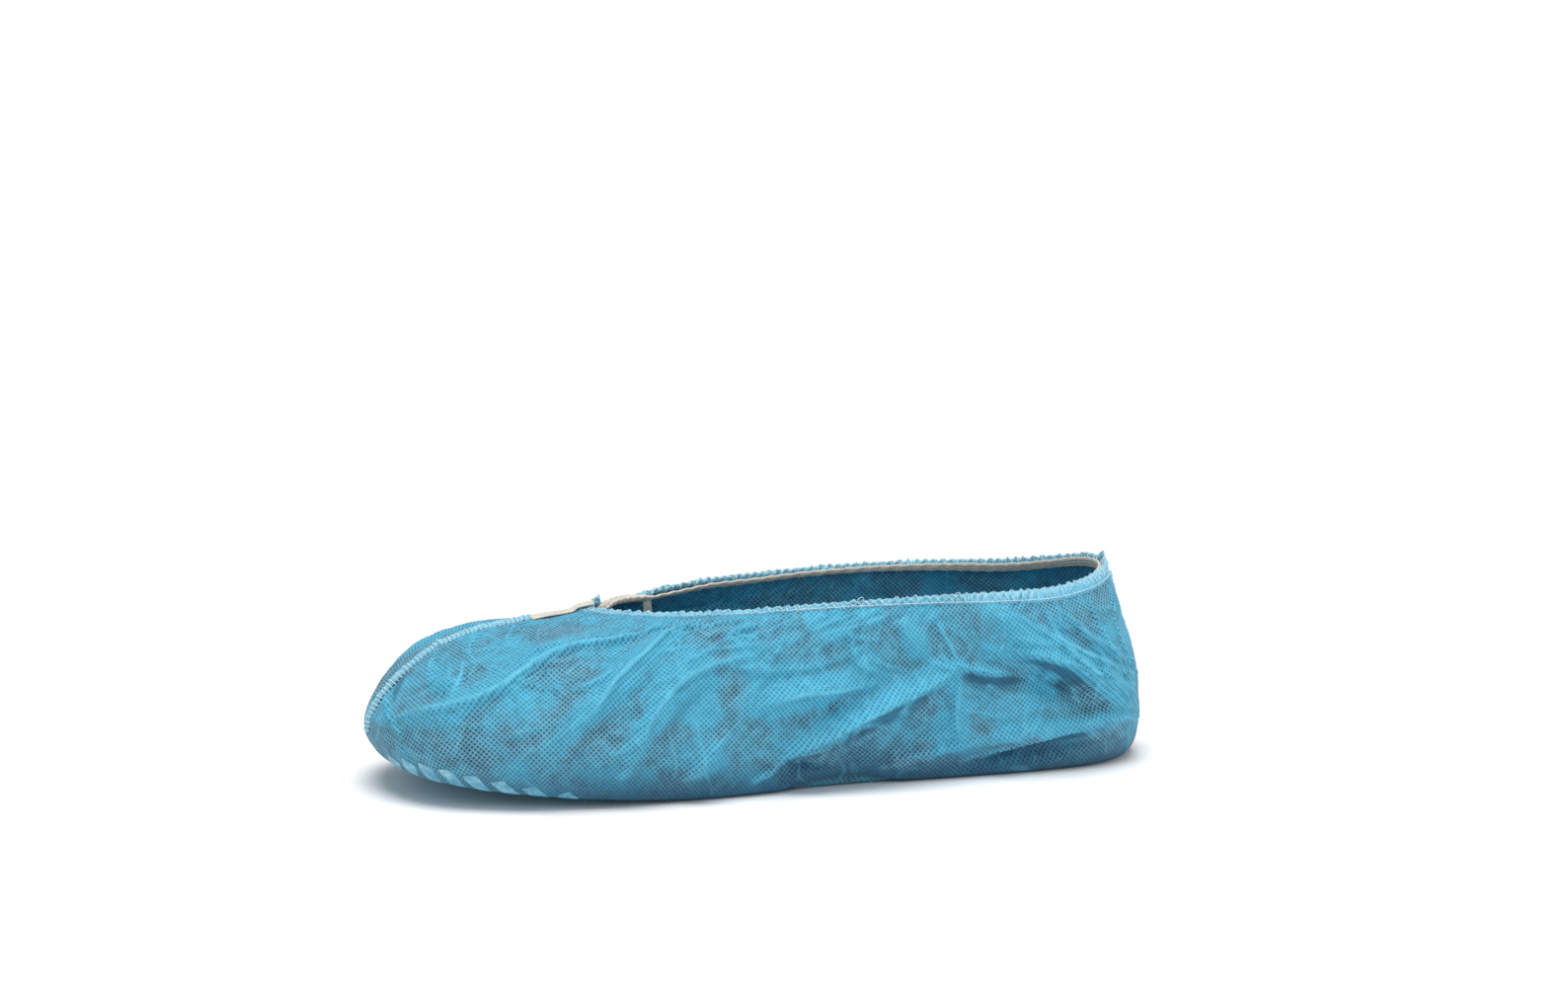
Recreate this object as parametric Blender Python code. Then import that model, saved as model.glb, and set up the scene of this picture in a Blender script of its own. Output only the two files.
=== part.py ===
# A disposable anti-slip overshoe in the form it has on a left shoe: toe at -X, heel at +X, sole down.
# One cloth shell with a gathered hem, a cream elastic, two overlocked seams and printed grip bars.
from math import cos, pi

import bmesh
import bpy
import numpy as np
from mathutils import Vector

# Driving sizes, in metres
LENGTH = 0.308
HEM_HEIGHT = 0.0775
CLOTH = 0.0012
GAP = 0.0003
TOE_SPRING = 0.0105
SPRING_START = 0.035
TOE_TURN = 0.005
ARCH_RISE = 0.0042
HEM_BAND = 0.0052
HEM_THICKNESS = 0.0016
RUFFLE_DEPTH = 0.0007
CORNER_RISE = 0.0042
HEEL_TIP_RISE = 0.0020
TAPE_WIDTH = 0.0040
TAPE_THICKNESS = 0.0010
TAPE_BELOW_EDGE = 0.0004
TAPE_PROUD = 0.0022
TAIL_LENGTH = 0.026
SEAM_RISE = 0.0019
SEAM_WIDTH = 0.0022
SEAM_LEAN = 0.0008
SEAM_OFFSET = 0.0035
GRIP_THICKNESS = 0.0007
GRIP_WIDTH = 0.0066
GRIP_PITCH = 0.0124
GRIP_EDGE_MARGIN = 0.006
GRIP_WRAP = 0.012
WRAP_START = 0.080
SHORTEST_BAR = 0.020
CLIMB_STEP = 0.003

# The greatest half width of each guide loop, in metres
SOLE_HALF_WIDTH = 0.0510
BELLY_HALF_WIDTH = 0.0560
SHOULDER_HALF_WIDTH = 0.0515
VAMP_HALF_WIDTH = 0.0430
HEM_HALF_WIDTH = 0.0375

# How far each guide loop stands back from the ends of the overshoe, in metres
SOLE_HEEL_SETBACK, SOLE_TOE_SETBACK = 0.0045, 0.0085
BELLY_HEEL_SETBACK, BELLY_TOE_SETBACK = 0.0, 0.0
SHOULDER_HEEL_SETBACK, SHOULDER_TOE_SETBACK = 0.0010, 0.0085
VAMP_HEEL_SETBACK, VAMP_TOE_SETBACK = 0.0075, 0.0350
HEM_HEEL_SETBACK, HEM_TOE_SETBACK = 0.0135, 0.0875

CLOTH_UNDERSIDE = GRIP_THICKNESS + GAP
HEEL_X, TOE_X = LENGTH / 2, -LENGTH / 2

# Places and amounts with no unit. A turn is a share of the way round, a top or foot is a share of the height.
EDGE_LEAD_X, EDGE_LEAD_Y = 0.93, 0.80
TOE_LIFT_POWER = 1.35
ARCH_TURN, ARCH_TURN_REACH = 0.228, 0.030
ARCH_TOP = 0.20
CORNER_TURN, CORNER_TURN_REACH = 0.535, 0.012
HEEL_TIP_TURN_REACH = 0.008
RUFFLE_FADE = 0.12
RUFFLE_START = 1 / 12
FOLD_END = 0.35
FOLDS_FOOT, FOLDS_TOP = 0.10, 0.12
SPINE_LENGTH_SHARE = 0.86
SEAM_FOOT, SEAM_TOP = 0.13, 0.985
SEAM_BOW_POWER = 0.6
SEAM_TAIL_GAP = 0.006
SEAM_NARROWING = 0.7
TAPE_PROUD_TURN, TAPE_PROUD_REACH = 0.565, 0.075
TAIL_TOP = 0.97
TOE_TURN_SHARE, HEEL_TURN_SHARE = 0.5, 0.0
BESIDE_TURN_REACH = 0.05
GRIP_SLOPE = 0.70
GRAZING = 0.35

# Mesh fineness
POINTS_A_SIDE = 52
BODY_ROWS = 18
SOLE_RINGS = (0.30, 0.60, 0.84)
RUFFLES_A_SIDE = 26
CURVE_STEPS = 12
POINTS_BESIDE = 21

# Each guide loop runs round the overshoe. Widths are shares of the loop's half width and heights are shares
# of the hem's height, from the heel (first) to the toe (last), evenly spaced in angle round the loop.
GUIDES = {
    "sole": dict(
        half_width=SOLE_HALF_WIDTH, heel=SOLE_HEEL_SETBACK, toe=SOLE_TOE_SETBACK,
        near=(0, 0.33, 0.58, 0.69, 0.73, 0.76, 0.84, 0.95, 1.00, 0.94, 0.76, 0.44, 0),
        far=(0, 0.33, 0.58, 0.68, 0.69, 0.68, 0.73, 0.88, 0.98, 0.97, 0.83, 0.50, 0),
        up=(0, 0, 0, 0, 0, 0, 0, 0, 0, 0, 0, 0, 0),
    ),
    "belly": dict(
        half_width=BELLY_HALF_WIDTH, heel=BELLY_HEEL_SETBACK, toe=BELLY_TOE_SETBACK,
        near=(0, 0.34, 0.59, 0.70, 0.74, 0.77, 0.84, 0.95, 1.00, 0.94, 0.76, 0.44, 0),
        far=(0, 0.34, 0.59, 0.70, 0.73, 0.74, 0.78, 0.90, 0.98, 0.97, 0.83, 0.50, 0),
        up=(0.13, 0.14, 0.16, 0.18, 0.20, 0.21, 0.22, 0.22, 0.21, 0.20, 0.18, 0.17, 0.165),
    ),
    "shoulder": dict(
        half_width=SHOULDER_HALF_WIDTH, heel=SHOULDER_HEEL_SETBACK, toe=SHOULDER_TOE_SETBACK,
        near=(0, 0.36, 0.63, 0.76, 0.81, 0.84, 0.89, 0.96, 1.00, 0.93, 0.73, 0.40, 0),
        far=(0, 0.36, 0.63, 0.76, 0.81, 0.83, 0.86, 0.94, 1.00, 0.97, 0.80, 0.47, 0),
        up=(0.43, 0.44, 0.46, 0.49, 0.51, 0.52, 0.52, 0.51, 0.50, 0.49, 0.475, 0.465, 0.46),
    ),
    "vamp": dict(
        half_width=VAMP_HALF_WIDTH, heel=VAMP_HEEL_SETBACK, toe=VAMP_TOE_SETBACK,
        near=(0, 0.40, 0.71, 0.87, 0.94, 0.98, 1.00, 0.98, 0.92, 0.79, 0.57, 0.29, 0),
        far=(0, 0.40, 0.71, 0.87, 0.94, 0.98, 1.00, 1.00, 0.97, 0.87, 0.66, 0.36, 0),
        up=(0.72, 0.73, 0.75, 0.77, 0.78, 0.78, 0.77, 0.75, 0.73, 0.72, 0.725, 0.74, 0.75),
        far_up=(0.72, 0.73, 0.75, 0.77, 0.77, 0.76, 0.73, 0.68, 0.64, 0.635, 0.665, 0.71, 0.75),
    ),
    "hem": dict(
        half_width=HEM_HALF_WIDTH, heel=HEM_HEEL_SETBACK, toe=HEM_TOE_SETBACK,
        near=(0, 0.34, 0.62, 0.82, 0.94, 1.00, 1.00, 0.93, 0.78, 0.55, 0.30, 0.11, 0),
        far=(0, 0.34, 0.62, 0.82, 0.94, 1.00, 1.00, 0.92, 0.74, 0.48, 0.24, 0.08, 0),
        up=(1.00, 0.99, 0.96, 0.935, 0.935, 0.94, 0.935, 0.92, 0.895, 0.875, 0.865, 0.865, 0.865),
        far_up=(1.00, 0.99, 0.96, 0.935, 0.935, 0.935, 0.93, 0.92, 0.915, 0.90, 0.88, 0.87, 0.865),
    ),
}

# Folds of the cloth, each a line over the surface through its named places. Along is 0 at the heel and 1 at
# the toe, up is 0 at the sole's edge and 1 at the hem. Rise is the ridge's height, negative for a groove, and
# reach is its half width, both as shares of FOLD_SIZE.
FOLD_SIZE = 0.010
FOLDS = [
    dict(side="near", path=((0.98, 0.22), (0.94, 0.28), (0.91, 0.42), (0.885, 0.70)), rise=0.26, reach=0.80),
    dict(side="near", path=((0.97, 0.40), (0.94, 0.34)), rise=0.16, reach=0.60),
    dict(side="near", path=((0.76, 0.82), (0.75, 0.55), (0.78, 0.33), (0.82, 0.18)), rise=0.26, reach=0.85),
    dict(side="near", path=((0.67, 0.66), (0.68, 0.40), (0.72, 0.17)), rise=0.26, reach=0.80),
    dict(side="near", path=((0.86, 0.50), (0.83, 0.34)), rise=-0.20, reach=0.95),
    dict(side="near", path=((0.57, 0.41), (0.50, 0.46), (0.43, 0.53), (0.42, 0.66)), rise=0.26, reach=0.95),
    dict(side="near", path=((0.50, 0.14), (0.44, 0.29), (0.36, 0.44), (0.28, 0.64)), rise=0.34, reach=1.00),
    dict(side="near", path=((0.44, 0.12), (0.37, 0.24), (0.30, 0.38)), rise=-0.20, reach=1.10),
    dict(side="near", path=((0.23, 0.92), (0.17, 0.72), (0.10, 0.56), (0.03, 0.34)), rise=0.34, reach=0.85),
    dict(side="near", path=((0.22, 0.62), (0.15, 0.52), (0.09, 0.38)), rise=-0.32, reach=0.90),
    dict(side="near", path=((0.29, 0.58), (0.27, 0.24)), rise=0.18, reach=0.70),
    dict(side="near", path=((0.28, 0.05), (0.20, 0.12), (0.12, 0.18)), rise=-0.42, reach=0.90),
    dict(side="near", path=((0.26, 0.16), (0.17, 0.24), (0.06, 0.28)), rise=0.22, reach=0.75),
    dict(side="near", path=((0.52, 0.07), (0.48, 0.14)), rise=-0.24, reach=0.95),
    dict(side="near", path=((0.64, 0.12), (0.59, 0.24)), rise=0.20, reach=0.80),
    dict(side="near", path=((0.40, 0.88), (0.34, 0.66)), rise=0.18, reach=0.80),
    dict(side="far", path=((0.985, 0.34), (0.97, 0.56), (0.965, 0.74)), rise=0.24, reach=1.10),
    dict(side="far", path=((0.94, 0.24), (0.88, 0.40), (0.84, 0.64)), rise=0.24, reach=0.90),
    dict(side="far", path=((0.78, 0.18), (0.70, 0.44), (0.66, 0.78)), rise=0.26, reach=0.85),
    dict(side="far", path=((0.66, 0.14), (0.58, 0.38), (0.54, 0.64)), rise=0.26, reach=0.85),
    dict(side="far", path=((0.72, 0.24), (0.64, 0.40)), rise=-0.22, reach=0.90),
    dict(side="far", path=((0.50, 0.14), (0.42, 0.34), (0.34, 0.60)), rise=0.32, reach=0.85),
    dict(side="far", path=((0.42, 0.12), (0.34, 0.28), (0.28, 0.44)), rise=-0.28, reach=0.90),
    dict(side="far", path=((0.24, 0.88), (0.16, 0.62), (0.05, 0.34)), rise=0.30, reach=0.85),
    dict(side="far", path=((0.24, 0.06), (0.15, 0.14), (0.09, 0.22)), rise=-0.34, reach=0.90),
]

CLOTH_BLUE = (0.10, 0.40, 0.58, 1.0)
HEM_BLUE = (0.20, 0.56, 0.72, 1.0)
THREAD_WHITE = (0.62, 0.82, 0.90, 1.0)
TAPE_CREAM = (0.80, 0.74, 0.64, 1.0)
GRIP_WHITE = (0.56, 0.76, 0.84, 1.0)


# Curves through the tables
def smooth_through(values, share):
    """A cubic through evenly spaced values, read at a share of the way along them."""
    place = min(max(share, 0.0), 1.0) * (len(values) - 1)
    i = min(int(place), len(values) - 2)
    f = place - i
    before = values[i - 1] if i > 0 else 2 * values[0] - values[1]
    after = values[i + 2] if i + 2 < len(values) else 2 * values[-1] - values[-2]
    a, b = values[i], values[i + 1]
    slope_a, slope_b = (b - before) / 2, (after - a) / 2
    return (
        (2 * f**3 - 3 * f**2 + 1) * a + (f**3 - 2 * f**2 + f) * slope_a
        + (-2 * f**3 + 3 * f**2) * b + (f**3 - f**2) * slope_b
    )


def toe_lift(x):
    """The sole's rise towards the toe, from the ball of the foot on."""
    share = np.clip((-SPRING_START - x) / (LENGTH / 2 - SPRING_START), 0, 1)
    return TOE_SPRING * share**TOE_LIFT_POWER


def toe_turn(x):
    """How far the middle line of the foot turns inwards, towards +Y, at the toe."""
    return TOE_TURN * np.clip(-x / (LENGTH / 2), 0, 1) ** 2


def guide_point(name, turn):
    """A point of a guide loop. Turn is 0 at the heel, 0.5 at the toe by the near side, and 1 back at the heel."""
    guide = GUIDES[name]
    near = turn <= 0.5
    share = 2 * turn if near else 2 - 2 * turn
    heel_x, toe_x = HEEL_X - guide["heel"], TOE_X + guide["toe"]
    x = heel_x + (toe_x - heel_x) * (1 - cos(pi * share)) / 2
    width = guide["half_width"] * smooth_through(guide["near"] if near else guide["far"], share)
    up = smooth_through(guide["up"] if near else guide.get("far_up", guide["up"]), share)
    z = CLOTH_UNDERSIDE + (HEM_HEIGHT - CLOTH_UNDERSIDE) * up + toe_lift(x) * (1 - up)
    return np.array([x, toe_turn(x) + (-width if near else width), z])


def meridian(turn):
    """Closely spaced points up the cloth from the sole's edge to the hem's edge."""
    knots = [guide_point(name, turn) for name in GUIDES]
    # The curve leaves the sole nearly flat, so that the sole's edge is round
    start = knots[0] * (EDGE_LEAD_X, EDGE_LEAD_Y, 1)
    knots = [start, *knots, 2 * knots[-1] - knots[-2]]
    points = []
    for a, b, c, d in zip(knots, knots[1:], knots[2:], knots[3:]):
        for step in range(CURVE_STEPS):
            f = step / CURVE_STEPS
            points.append(
                0.5 * (2 * b + (c - a) * f + (2 * a - 5 * b + 4 * c - d) * f**2
                       + (3 * b - a - 3 * c + d) * f**3)
            )
    return np.array(points + [knots[-2]])


def lengths_along(points):
    return np.concatenate([[0], np.cumsum(np.linalg.norm(np.diff(points, axis=0), axis=1))])


def at_lengths(points, wanted):
    """The points of a polyline at the wanted lengths along it."""
    lengths = lengths_along(points)
    return np.stack([np.interp(wanted, lengths, points[:, k]) for k in range(3)], axis=-1)


def strip_of_cloth(turns, lengths_for):
    """Rows of the smooth outer cloth: lengths_for gives each row's length up a meridian from its whole length."""
    columns = []
    for turn in turns:
        line = meridian(turn)
        columns.append(at_lengths(line, lengths_for(lengths_along(line)[-1])))
    return np.array(columns).transpose(1, 0, 2)


def outward_normals(surface, closed=True):
    """Unit normals of rows of points that run round the foot, heel to near side to toe."""
    if closed:
        round_foot = np.roll(surface, -1, axis=1) - np.roll(surface, 1, axis=1)
    else:
        round_foot = np.gradient(surface, axis=1)
    upwards = np.gradient(surface, axis=0)
    normals = np.cross(upwards, round_foot)
    return normals / np.maximum(np.linalg.norm(normals, axis=2, keepdims=True), 1e-9)


def distance_to_line(points, line):
    """Each point's distance to a polyline and its share of the way along it."""
    lengths = lengths_along(line)
    nearest = np.full(points.shape[:-1], np.inf)
    share = np.zeros(points.shape[:-1])
    for a, b, start in zip(line, line[1:], lengths):
        way = b - a
        f = np.clip(((points - a) @ way) / (way @ way), 0, 1)
        off = np.linalg.norm(points - a - f[..., None] * way, axis=-1)
        closer = off < nearest
        nearest = np.where(closer, off, nearest)
        share = np.where(closer, (start + f * np.linalg.norm(way)) / lengths[-1], share)
    return nearest, share


def place_on_cloth(side, along, up):
    turn = np.arccos(1 - 2 * along) / (2 * pi)
    line = meridian(turn if side == "near" else 1 - turn)
    return at_lengths(line, up * (lengths_along(line)[-1] - HEM_BAND))


def fold_relief(surface, shares):
    """How far the folds move each point of the body's rows along its normal."""
    relief = np.zeros(surface.shape[:2])
    for fold in FOLDS:
        line = np.array([place_on_cloth(fold["side"], along, up) for along, up in fold["path"]])
        off, share = distance_to_line(surface, line)
        across = np.clip(1 - (off / (fold["reach"] * FOLD_SIZE)) ** 2, 0, 1) ** 2
        tapered = FOLD_END + (1 - FOLD_END) * np.sin(pi * share) ** 0.7
        relief += fold["rise"] * FOLD_SIZE * across * tapered
    shares = np.asarray(shares)[:, None]
    return relief * np.clip(shares / FOLDS_FOOT, 0, 1) * np.clip((1 - shares) / FOLDS_TOP, 0, 1)


def arch_lift(turns, shares):
    """The near edge of the sole stands off the floor at the arch."""
    here = np.clip(1 - ((np.asarray(turns) - ARCH_TURN) / ARCH_TURN_REACH) ** 2, 0, 1) ** 2
    return ARCH_RISE * here[None, :] * np.clip(1 - np.asarray(shares) / ARCH_TOP, 0, 1)[:, None]


def folded_cloth(turns, shares, closed=True):
    """Rows of the body's folded outer side at shares of its height, and their outward normals."""
    surface = strip_of_cloth(turns, lambda whole: np.asarray(shares) * (whole - HEM_BAND - GAP))
    normals = outward_normals(surface, closed)
    surface = surface + normals * fold_relief(surface, shares)[..., None]
    surface[..., 2] += arch_lift(turns, shares)
    return surface, normals


# Making objects
def clear_scene():
    for obj in list(bpy.data.objects):
        bpy.data.objects.remove(obj)


def finish(name, color, roughness):
    made = bpy.data.materials.new(name)
    made.use_nodes = True
    shader = made.node_tree.nodes["Principled BSDF"]
    shader.inputs["Base Color"].default_value = color
    shader.inputs["Roughness"].default_value = roughness
    shader.inputs["Metallic"].default_value = 0.0
    return made


def add_object(name, bm, material, sharp_from=0.9):
    bmesh.ops.recalc_face_normals(bm, faces=bm.faces)
    mesh = bpy.data.meshes.new(name)
    bm.to_mesh(mesh)
    bm.free()
    mesh.shade_smooth()
    mesh.set_sharp_from_angle(angle=sharp_from)
    mesh.materials.append(material)
    obj = bpy.data.objects.new(name, mesh)
    bpy.context.scene.collection.objects.link(obj)
    return obj


def joined_rings(bm, rings, closed):
    """Quads between each ring of vertices and the next, and back to the first where the rings are closed."""
    following = rings[1:] + rings[:1] if closed else rings[1:]
    for ring, after in zip(rings, following):
        for i in range(len(ring)):
            j = (i + 1) % len(ring)
            bm.faces.new((ring[i], ring[j], after[j], after[i]))


def add_strip(name, sections, material, closed=False):
    """A solid through equal sections, closed to a loop or capped at both ends."""
    bm = bmesh.new()
    rings = [[bm.verts.new(point) for point in section] for section in sections]
    joined_rings(bm, rings, closed)
    if not closed:
        bm.faces.new(rings[0][::-1])
        bm.faces.new(rings[-1])
    return add_object(name, bm, material)


# The cloth
def cover_body(material):
    """The shell of cloth: sole, walls and toe in one sheet, thickened inwards."""
    turns = np.linspace(0, 1, 2 * POINTS_A_SIDE, endpoint=False)
    body, _ = folded_cloth(turns, np.linspace(0, 1, BODY_ROWS))
    bm = bmesh.new()
    edge = body[0]
    flat_edge = np.stack([edge[:, 0], edge[:, 1], CLOTH_UNDERSIDE + toe_lift(edge[:, 0])], axis=1)
    spine_x = edge[:, 0] * SPINE_LENGTH_SHARE
    spine = np.stack([spine_x, toe_turn(spine_x), CLOTH_UNDERSIDE + toe_lift(spine_x)], axis=1)
    rings = []
    for share in SOLE_RINGS:
        ring = flat_edge * share + spine * (1 - share)
        ring[:, 2] = CLOTH_UNDERSIDE + toe_lift(ring[:, 0])
        rings.append(ring)
    rings = [[bm.verts.new(point) for point in ring] for ring in [*rings, *body]]
    joined_rings(bm, rings, closed=False)
    first, half = rings[0], POINTS_A_SIDE
    for i in range(1, half - 1):
        bm.faces.new((first[i], first[i + 1], first[-i - 1], first[-i]))
    bm.faces.new((first[0], first[1], first[-1]))
    bm.faces.new((first[half - 1], first[half], first[half + 1]))
    obj = add_object("cover_body", bm, material)
    wall = obj.modifiers.new("Wall", "SOLIDIFY")
    wall.thickness = CLOTH
    wall.offset = -1
    return obj


def gathered_hem(material):
    """The doubled edge of the opening, drawn into ruffles by the elastic inside it."""
    count = 6 * RUFFLES_A_SIDE
    turns = np.linspace(0, 1, count, endpoint=False)
    lengths = np.array([HEM_BAND, 0])
    band = strip_of_cloth(turns, lambda whole: whole - lengths)
    normals = outward_normals(band)
    ruffle = np.sin(2 * pi * (2 * RUFFLES_A_SIDE * turns + RUFFLE_START))[:, None]
    fade = np.clip(np.abs(np.sin(2 * pi * turns)) / RUFFLE_FADE, 0, 1)[:, None]
    corner = CORNER_RISE * np.clip(1 - ((turns - CORNER_TURN) / CORNER_TURN_REACH) ** 2, 0, 1)
    from_heel = np.minimum(turns, 1 - turns)
    heel_tip = HEEL_TIP_RISE * np.clip(1 - (from_heel / HEEL_TIP_TURN_REACH) ** 2, 0, 1)
    sections = []
    for i in range(count):
        low, top = band[:, i]
        out_low, out_top = normals[:, i]
        wave = RUFFLE_DEPTH * ruffle[i] * fade[i]
        top = top + out_top * wave
        top[2] += corner[i] + heel_tip[i]
        sections.append([low, top, top - out_top * HEM_THICKNESS, low - out_low * HEM_THICKNESS])
    return add_strip("gathered_hem", sections, material, closed=True)


# The elastic
def elastic_tape(material):
    """The elastic, a flat ring just inside the hem, which stands proud of it at the far front."""
    turns = np.linspace(0, 1, 2 * POINTS_A_SIDE, endpoint=False)
    lengths = np.array([TAPE_BELOW_EDGE + TAPE_WIDTH, TAPE_BELOW_EDGE])
    band = strip_of_cloth(turns, lambda whole: whole - lengths)
    normals = outward_normals(band)
    proud = TAPE_PROUD * np.clip(1 - ((turns - TAPE_PROUD_TURN) / TAPE_PROUD_REACH) ** 2, 0, 1)
    band += (band[1] - band[0]) / TAPE_WIDTH * proud[:, None]
    inset = HEM_THICKNESS + RUFFLE_DEPTH + GAP
    sections = []
    for i in range(len(turns)):
        low, top = band[:, i]
        out_low, out_top = normals[:, i]
        sections.append(
            [low - out_low * inset, top - out_top * inset,
             top - out_top * (inset + TAPE_THICKNESS), low - out_low * (inset + TAPE_THICKNESS)]
        )
    return add_strip("elastic_tape", sections, material, closed=True)


# The seams
def line_beside_middle(turn, offset, shares):
    """Points and normals up the cloth, kept at an offset from a middle meridian, positive to the far side."""
    spread = BESIDE_TURN_REACH * np.linspace(-1, 1, POINTS_BESIDE)
    surface, normals = folded_cloth(turn + spread, shares, closed=False)
    points, outs = [], []
    for row, out in zip(surface, normals):
        lengths = lengths_along(row)
        wanted = lengths[POINTS_BESIDE // 2] + offset
        points.append([np.interp(wanted, lengths, row[:, k]) for k in range(3)])
        outs.append([np.interp(wanted, lengths, out[:, k]) for k in range(3)])
    return np.array(points), np.array(outs)


def ridge_along(name, line, normals, lean, material):
    """An overlocked ridge standing on the cloth along a line of points."""
    ways = np.gradient(line, axis=0)
    sections = []
    for point, normal, way in zip(line, normals, ways):
        across = np.cross(way, normal)
        across /= np.linalg.norm(across)
        base = point + normal * GAP
        top = base + normal * SEAM_RISE + across * lean
        half = across * SEAM_WIDTH / 2
        top_half = half * SEAM_NARROWING
        sections.append([base - half, top - top_half, top + top_half, base + half])
    return add_strip(name, sections, material)


def instep_path(shares, offset=0):
    """Points and normals along the instep seam's line, which bows from the middle to the near side."""
    middle, normals = line_beside_middle(TOE_TURN_SHARE, offset, shares)
    beside, _ = line_beside_middle(TOE_TURN_SHARE, offset - SEAM_OFFSET, shares)
    way_up = np.clip((shares - SEAM_FOOT) / (SEAM_TOP - SEAM_FOOT), 0, 1)
    blend = np.sin(pi * way_up)[:, None] ** SEAM_BOW_POWER
    return middle * (1 - blend) + beside * blend, normals


def tail_foot():
    """The height share where the elastic's end begins and the instep seam's ridge stops."""
    return TAIL_TOP - TAIL_LENGTH / lengths_along(meridian(TOE_TURN_SHARE))[-1]


def instep_seam(material):
    """The seam from the toe's tip towards the opening, a little to the near side."""
    line, normals = instep_path(np.linspace(SEAM_FOOT, tail_foot() - SEAM_TAIL_GAP, 22))
    return ridge_along("instep_seam", line, normals, -SEAM_LEAN, material)


def heel_seam(material):
    line, normals = line_beside_middle(HEEL_TURN_SHARE, 0, np.linspace(SEAM_FOOT, SEAM_TOP, 14))
    return ridge_along("heel_seam", line, normals, 0, material)


def elastic_tail(material):
    """The elastic's end, which lies forward from the opening over the instep seam's line."""
    shares = np.linspace(tail_foot(), TAIL_TOP, 8)
    near_edge, near_out = instep_path(shares, -TAPE_WIDTH / 2)
    far_edge, far_out = instep_path(shares, TAPE_WIDTH / 2)
    sections = [
        [a + n * GAP, b + m * GAP, b + m * (GAP + TAPE_THICKNESS), a + n * (GAP + TAPE_THICKNESS)]
        for a, n, b, m in zip(near_edge, near_out, far_edge, far_out)
    ]
    return add_strip("elastic_tail", sections, material)


# The grip print
def sole_edge_y(side, x):
    """The y of the sole's edge at x, on the near side (-1) or the far side (1)."""
    turns = np.linspace(0.02, 0.98, 97) / 2
    turns = turns if side < 0 else 1 - turns
    edge = np.array([guide_point("sole", turn) for turn in turns])
    return np.interp(-x, -edge[:, 0], edge[:, 1])


def bar_span(middle_x, margin):
    """The y of the points where a slanted bar comes within a margin of the sole's outline."""
    ys = np.linspace(-SOLE_HALF_WIDTH, SOLE_HALF_WIDTH + TOE_TURN, 241)
    xs = middle_x + GRIP_SLOPE * ys
    near_y, far_y = sole_edge_y(-1, xs), sole_edge_y(1, xs)
    inside = (ys > near_y + margin) & (ys < far_y - margin)
    inside &= (xs > TOE_X + SOLE_TOE_SETBACK + margin) & (xs < HEEL_X - SOLE_HEEL_SETBACK - margin)
    return (ys[inside][0], ys[inside][-1]) if inside.any() else (0, 0)


def flat_section(middle_x, y):
    corners = []
    for z, offsets in ((GRIP_THICKNESS, (-0.5, 0.5)), (0, (0.5, -0.5))):
        for offset in offsets:
            x = middle_x + GRIP_SLOPE * y + offset * GRIP_WIDTH
            corners.append((x, y, toe_lift(x) + z))
    return corners


def climbing_sections(end, outwards):
    """Sections of a bar's end that goes over the sole's edge and up the cloth, from the sole's edge on."""
    if end[0] > -WRAP_START:
        return []
    turns = np.linspace(0.25, 0.75, 251)
    outline = np.array([guide_point("sole", turn)[:2] for turn in turns])
    nearest = np.linalg.norm(outline - end, axis=1).argmin()
    tangent = outline[nearest + 1] - outline[nearest - 1]
    turn_a_metre = (turns[2] - turns[0]) / np.linalg.norm(tangent)
    around = turn_a_metre * CLIMB_STEP * np.array([-1, 0, 1])
    tangent = tangent / np.linalg.norm(tangent)
    normal = np.array([-tangent[1], tangent[0]])
    if outwards @ normal < GRAZING:
        return []
    drift = np.clip((outwards @ tangent) / (outwards @ normal), -1, 1)
    toe_side = 1 if tangent @ (-1, GRIP_SLOPE) > 0 else -1
    wrap = GRIP_WRAP * ((-end[0] - WRAP_START) / (LENGTH / 2 - WRAP_START)) ** 0.6
    sections = []
    for climb in np.linspace(0, wrap, 4):
        turn = turns[nearest] + drift * climb * turn_a_metre
        whole = lengths_along(meridian(turn))[-1]
        shares = (climb + CLIMB_STEP / 4 * np.arange(3)) / whole
        surface, normals = folded_cloth(turn + around, shares, closed=False)
        point, out = surface[0, 1], normals[0, 1]
        width = (surface[0, 2] - surface[0, 0]) * toe_side
        width *= GRIP_WIDTH / 2 / np.linalg.norm(width)
        mitre = 1.0
        if climb == 0:
            # The corner section lies between the sole's plane and the cloth's slope
            bisector = out + np.array([0, 0, -1])
            bisector /= np.linalg.norm(bisector)
            out, mitre = bisector, 1 / (bisector @ out)
        inner, outer = out * GAP * mitre, out * (GAP + GRIP_THICKNESS) * mitre
        sections.append(
            [point + inner + width, point + inner - width, point + outer - width, point + outer + width]
        )
    return sections


def grip_bar(name, middle_x, material):
    """A slanted bar of anti-slip coating under the sole, whose ends climb the cloth's edge at the toe."""
    near_end, far_end = (np.array([middle_x + GRIP_SLOPE * y, y]) for y in bar_span(middle_x, 0))
    inset = bar_span(middle_x, GRIP_EDGE_MARGIN)
    flat = [flat_section(middle_x, y) for y in np.linspace(*inset, 8)]
    way = (far_end - near_end) / np.linalg.norm(far_end - near_end)
    before = climbing_sections(near_end, -way)[::-1]
    after = climbing_sections(far_end, way)
    return add_strip(name, before + flat + after, material)


def grip_bars(material):
    reach = GRIP_SLOPE * SOLE_HALF_WIDTH
    middles = np.arange(TOE_X - reach, HEEL_X + reach, GRIP_PITCH)
    middles = [x for x in middles if np.ptp(bar_span(x, GRIP_EDGE_MARGIN)) > SHORTEST_BAR]
    for number, middle_x in enumerate(middles, start=1):
        grip_bar(f"grip_bar_{number:02d}", middle_x, material)


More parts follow.
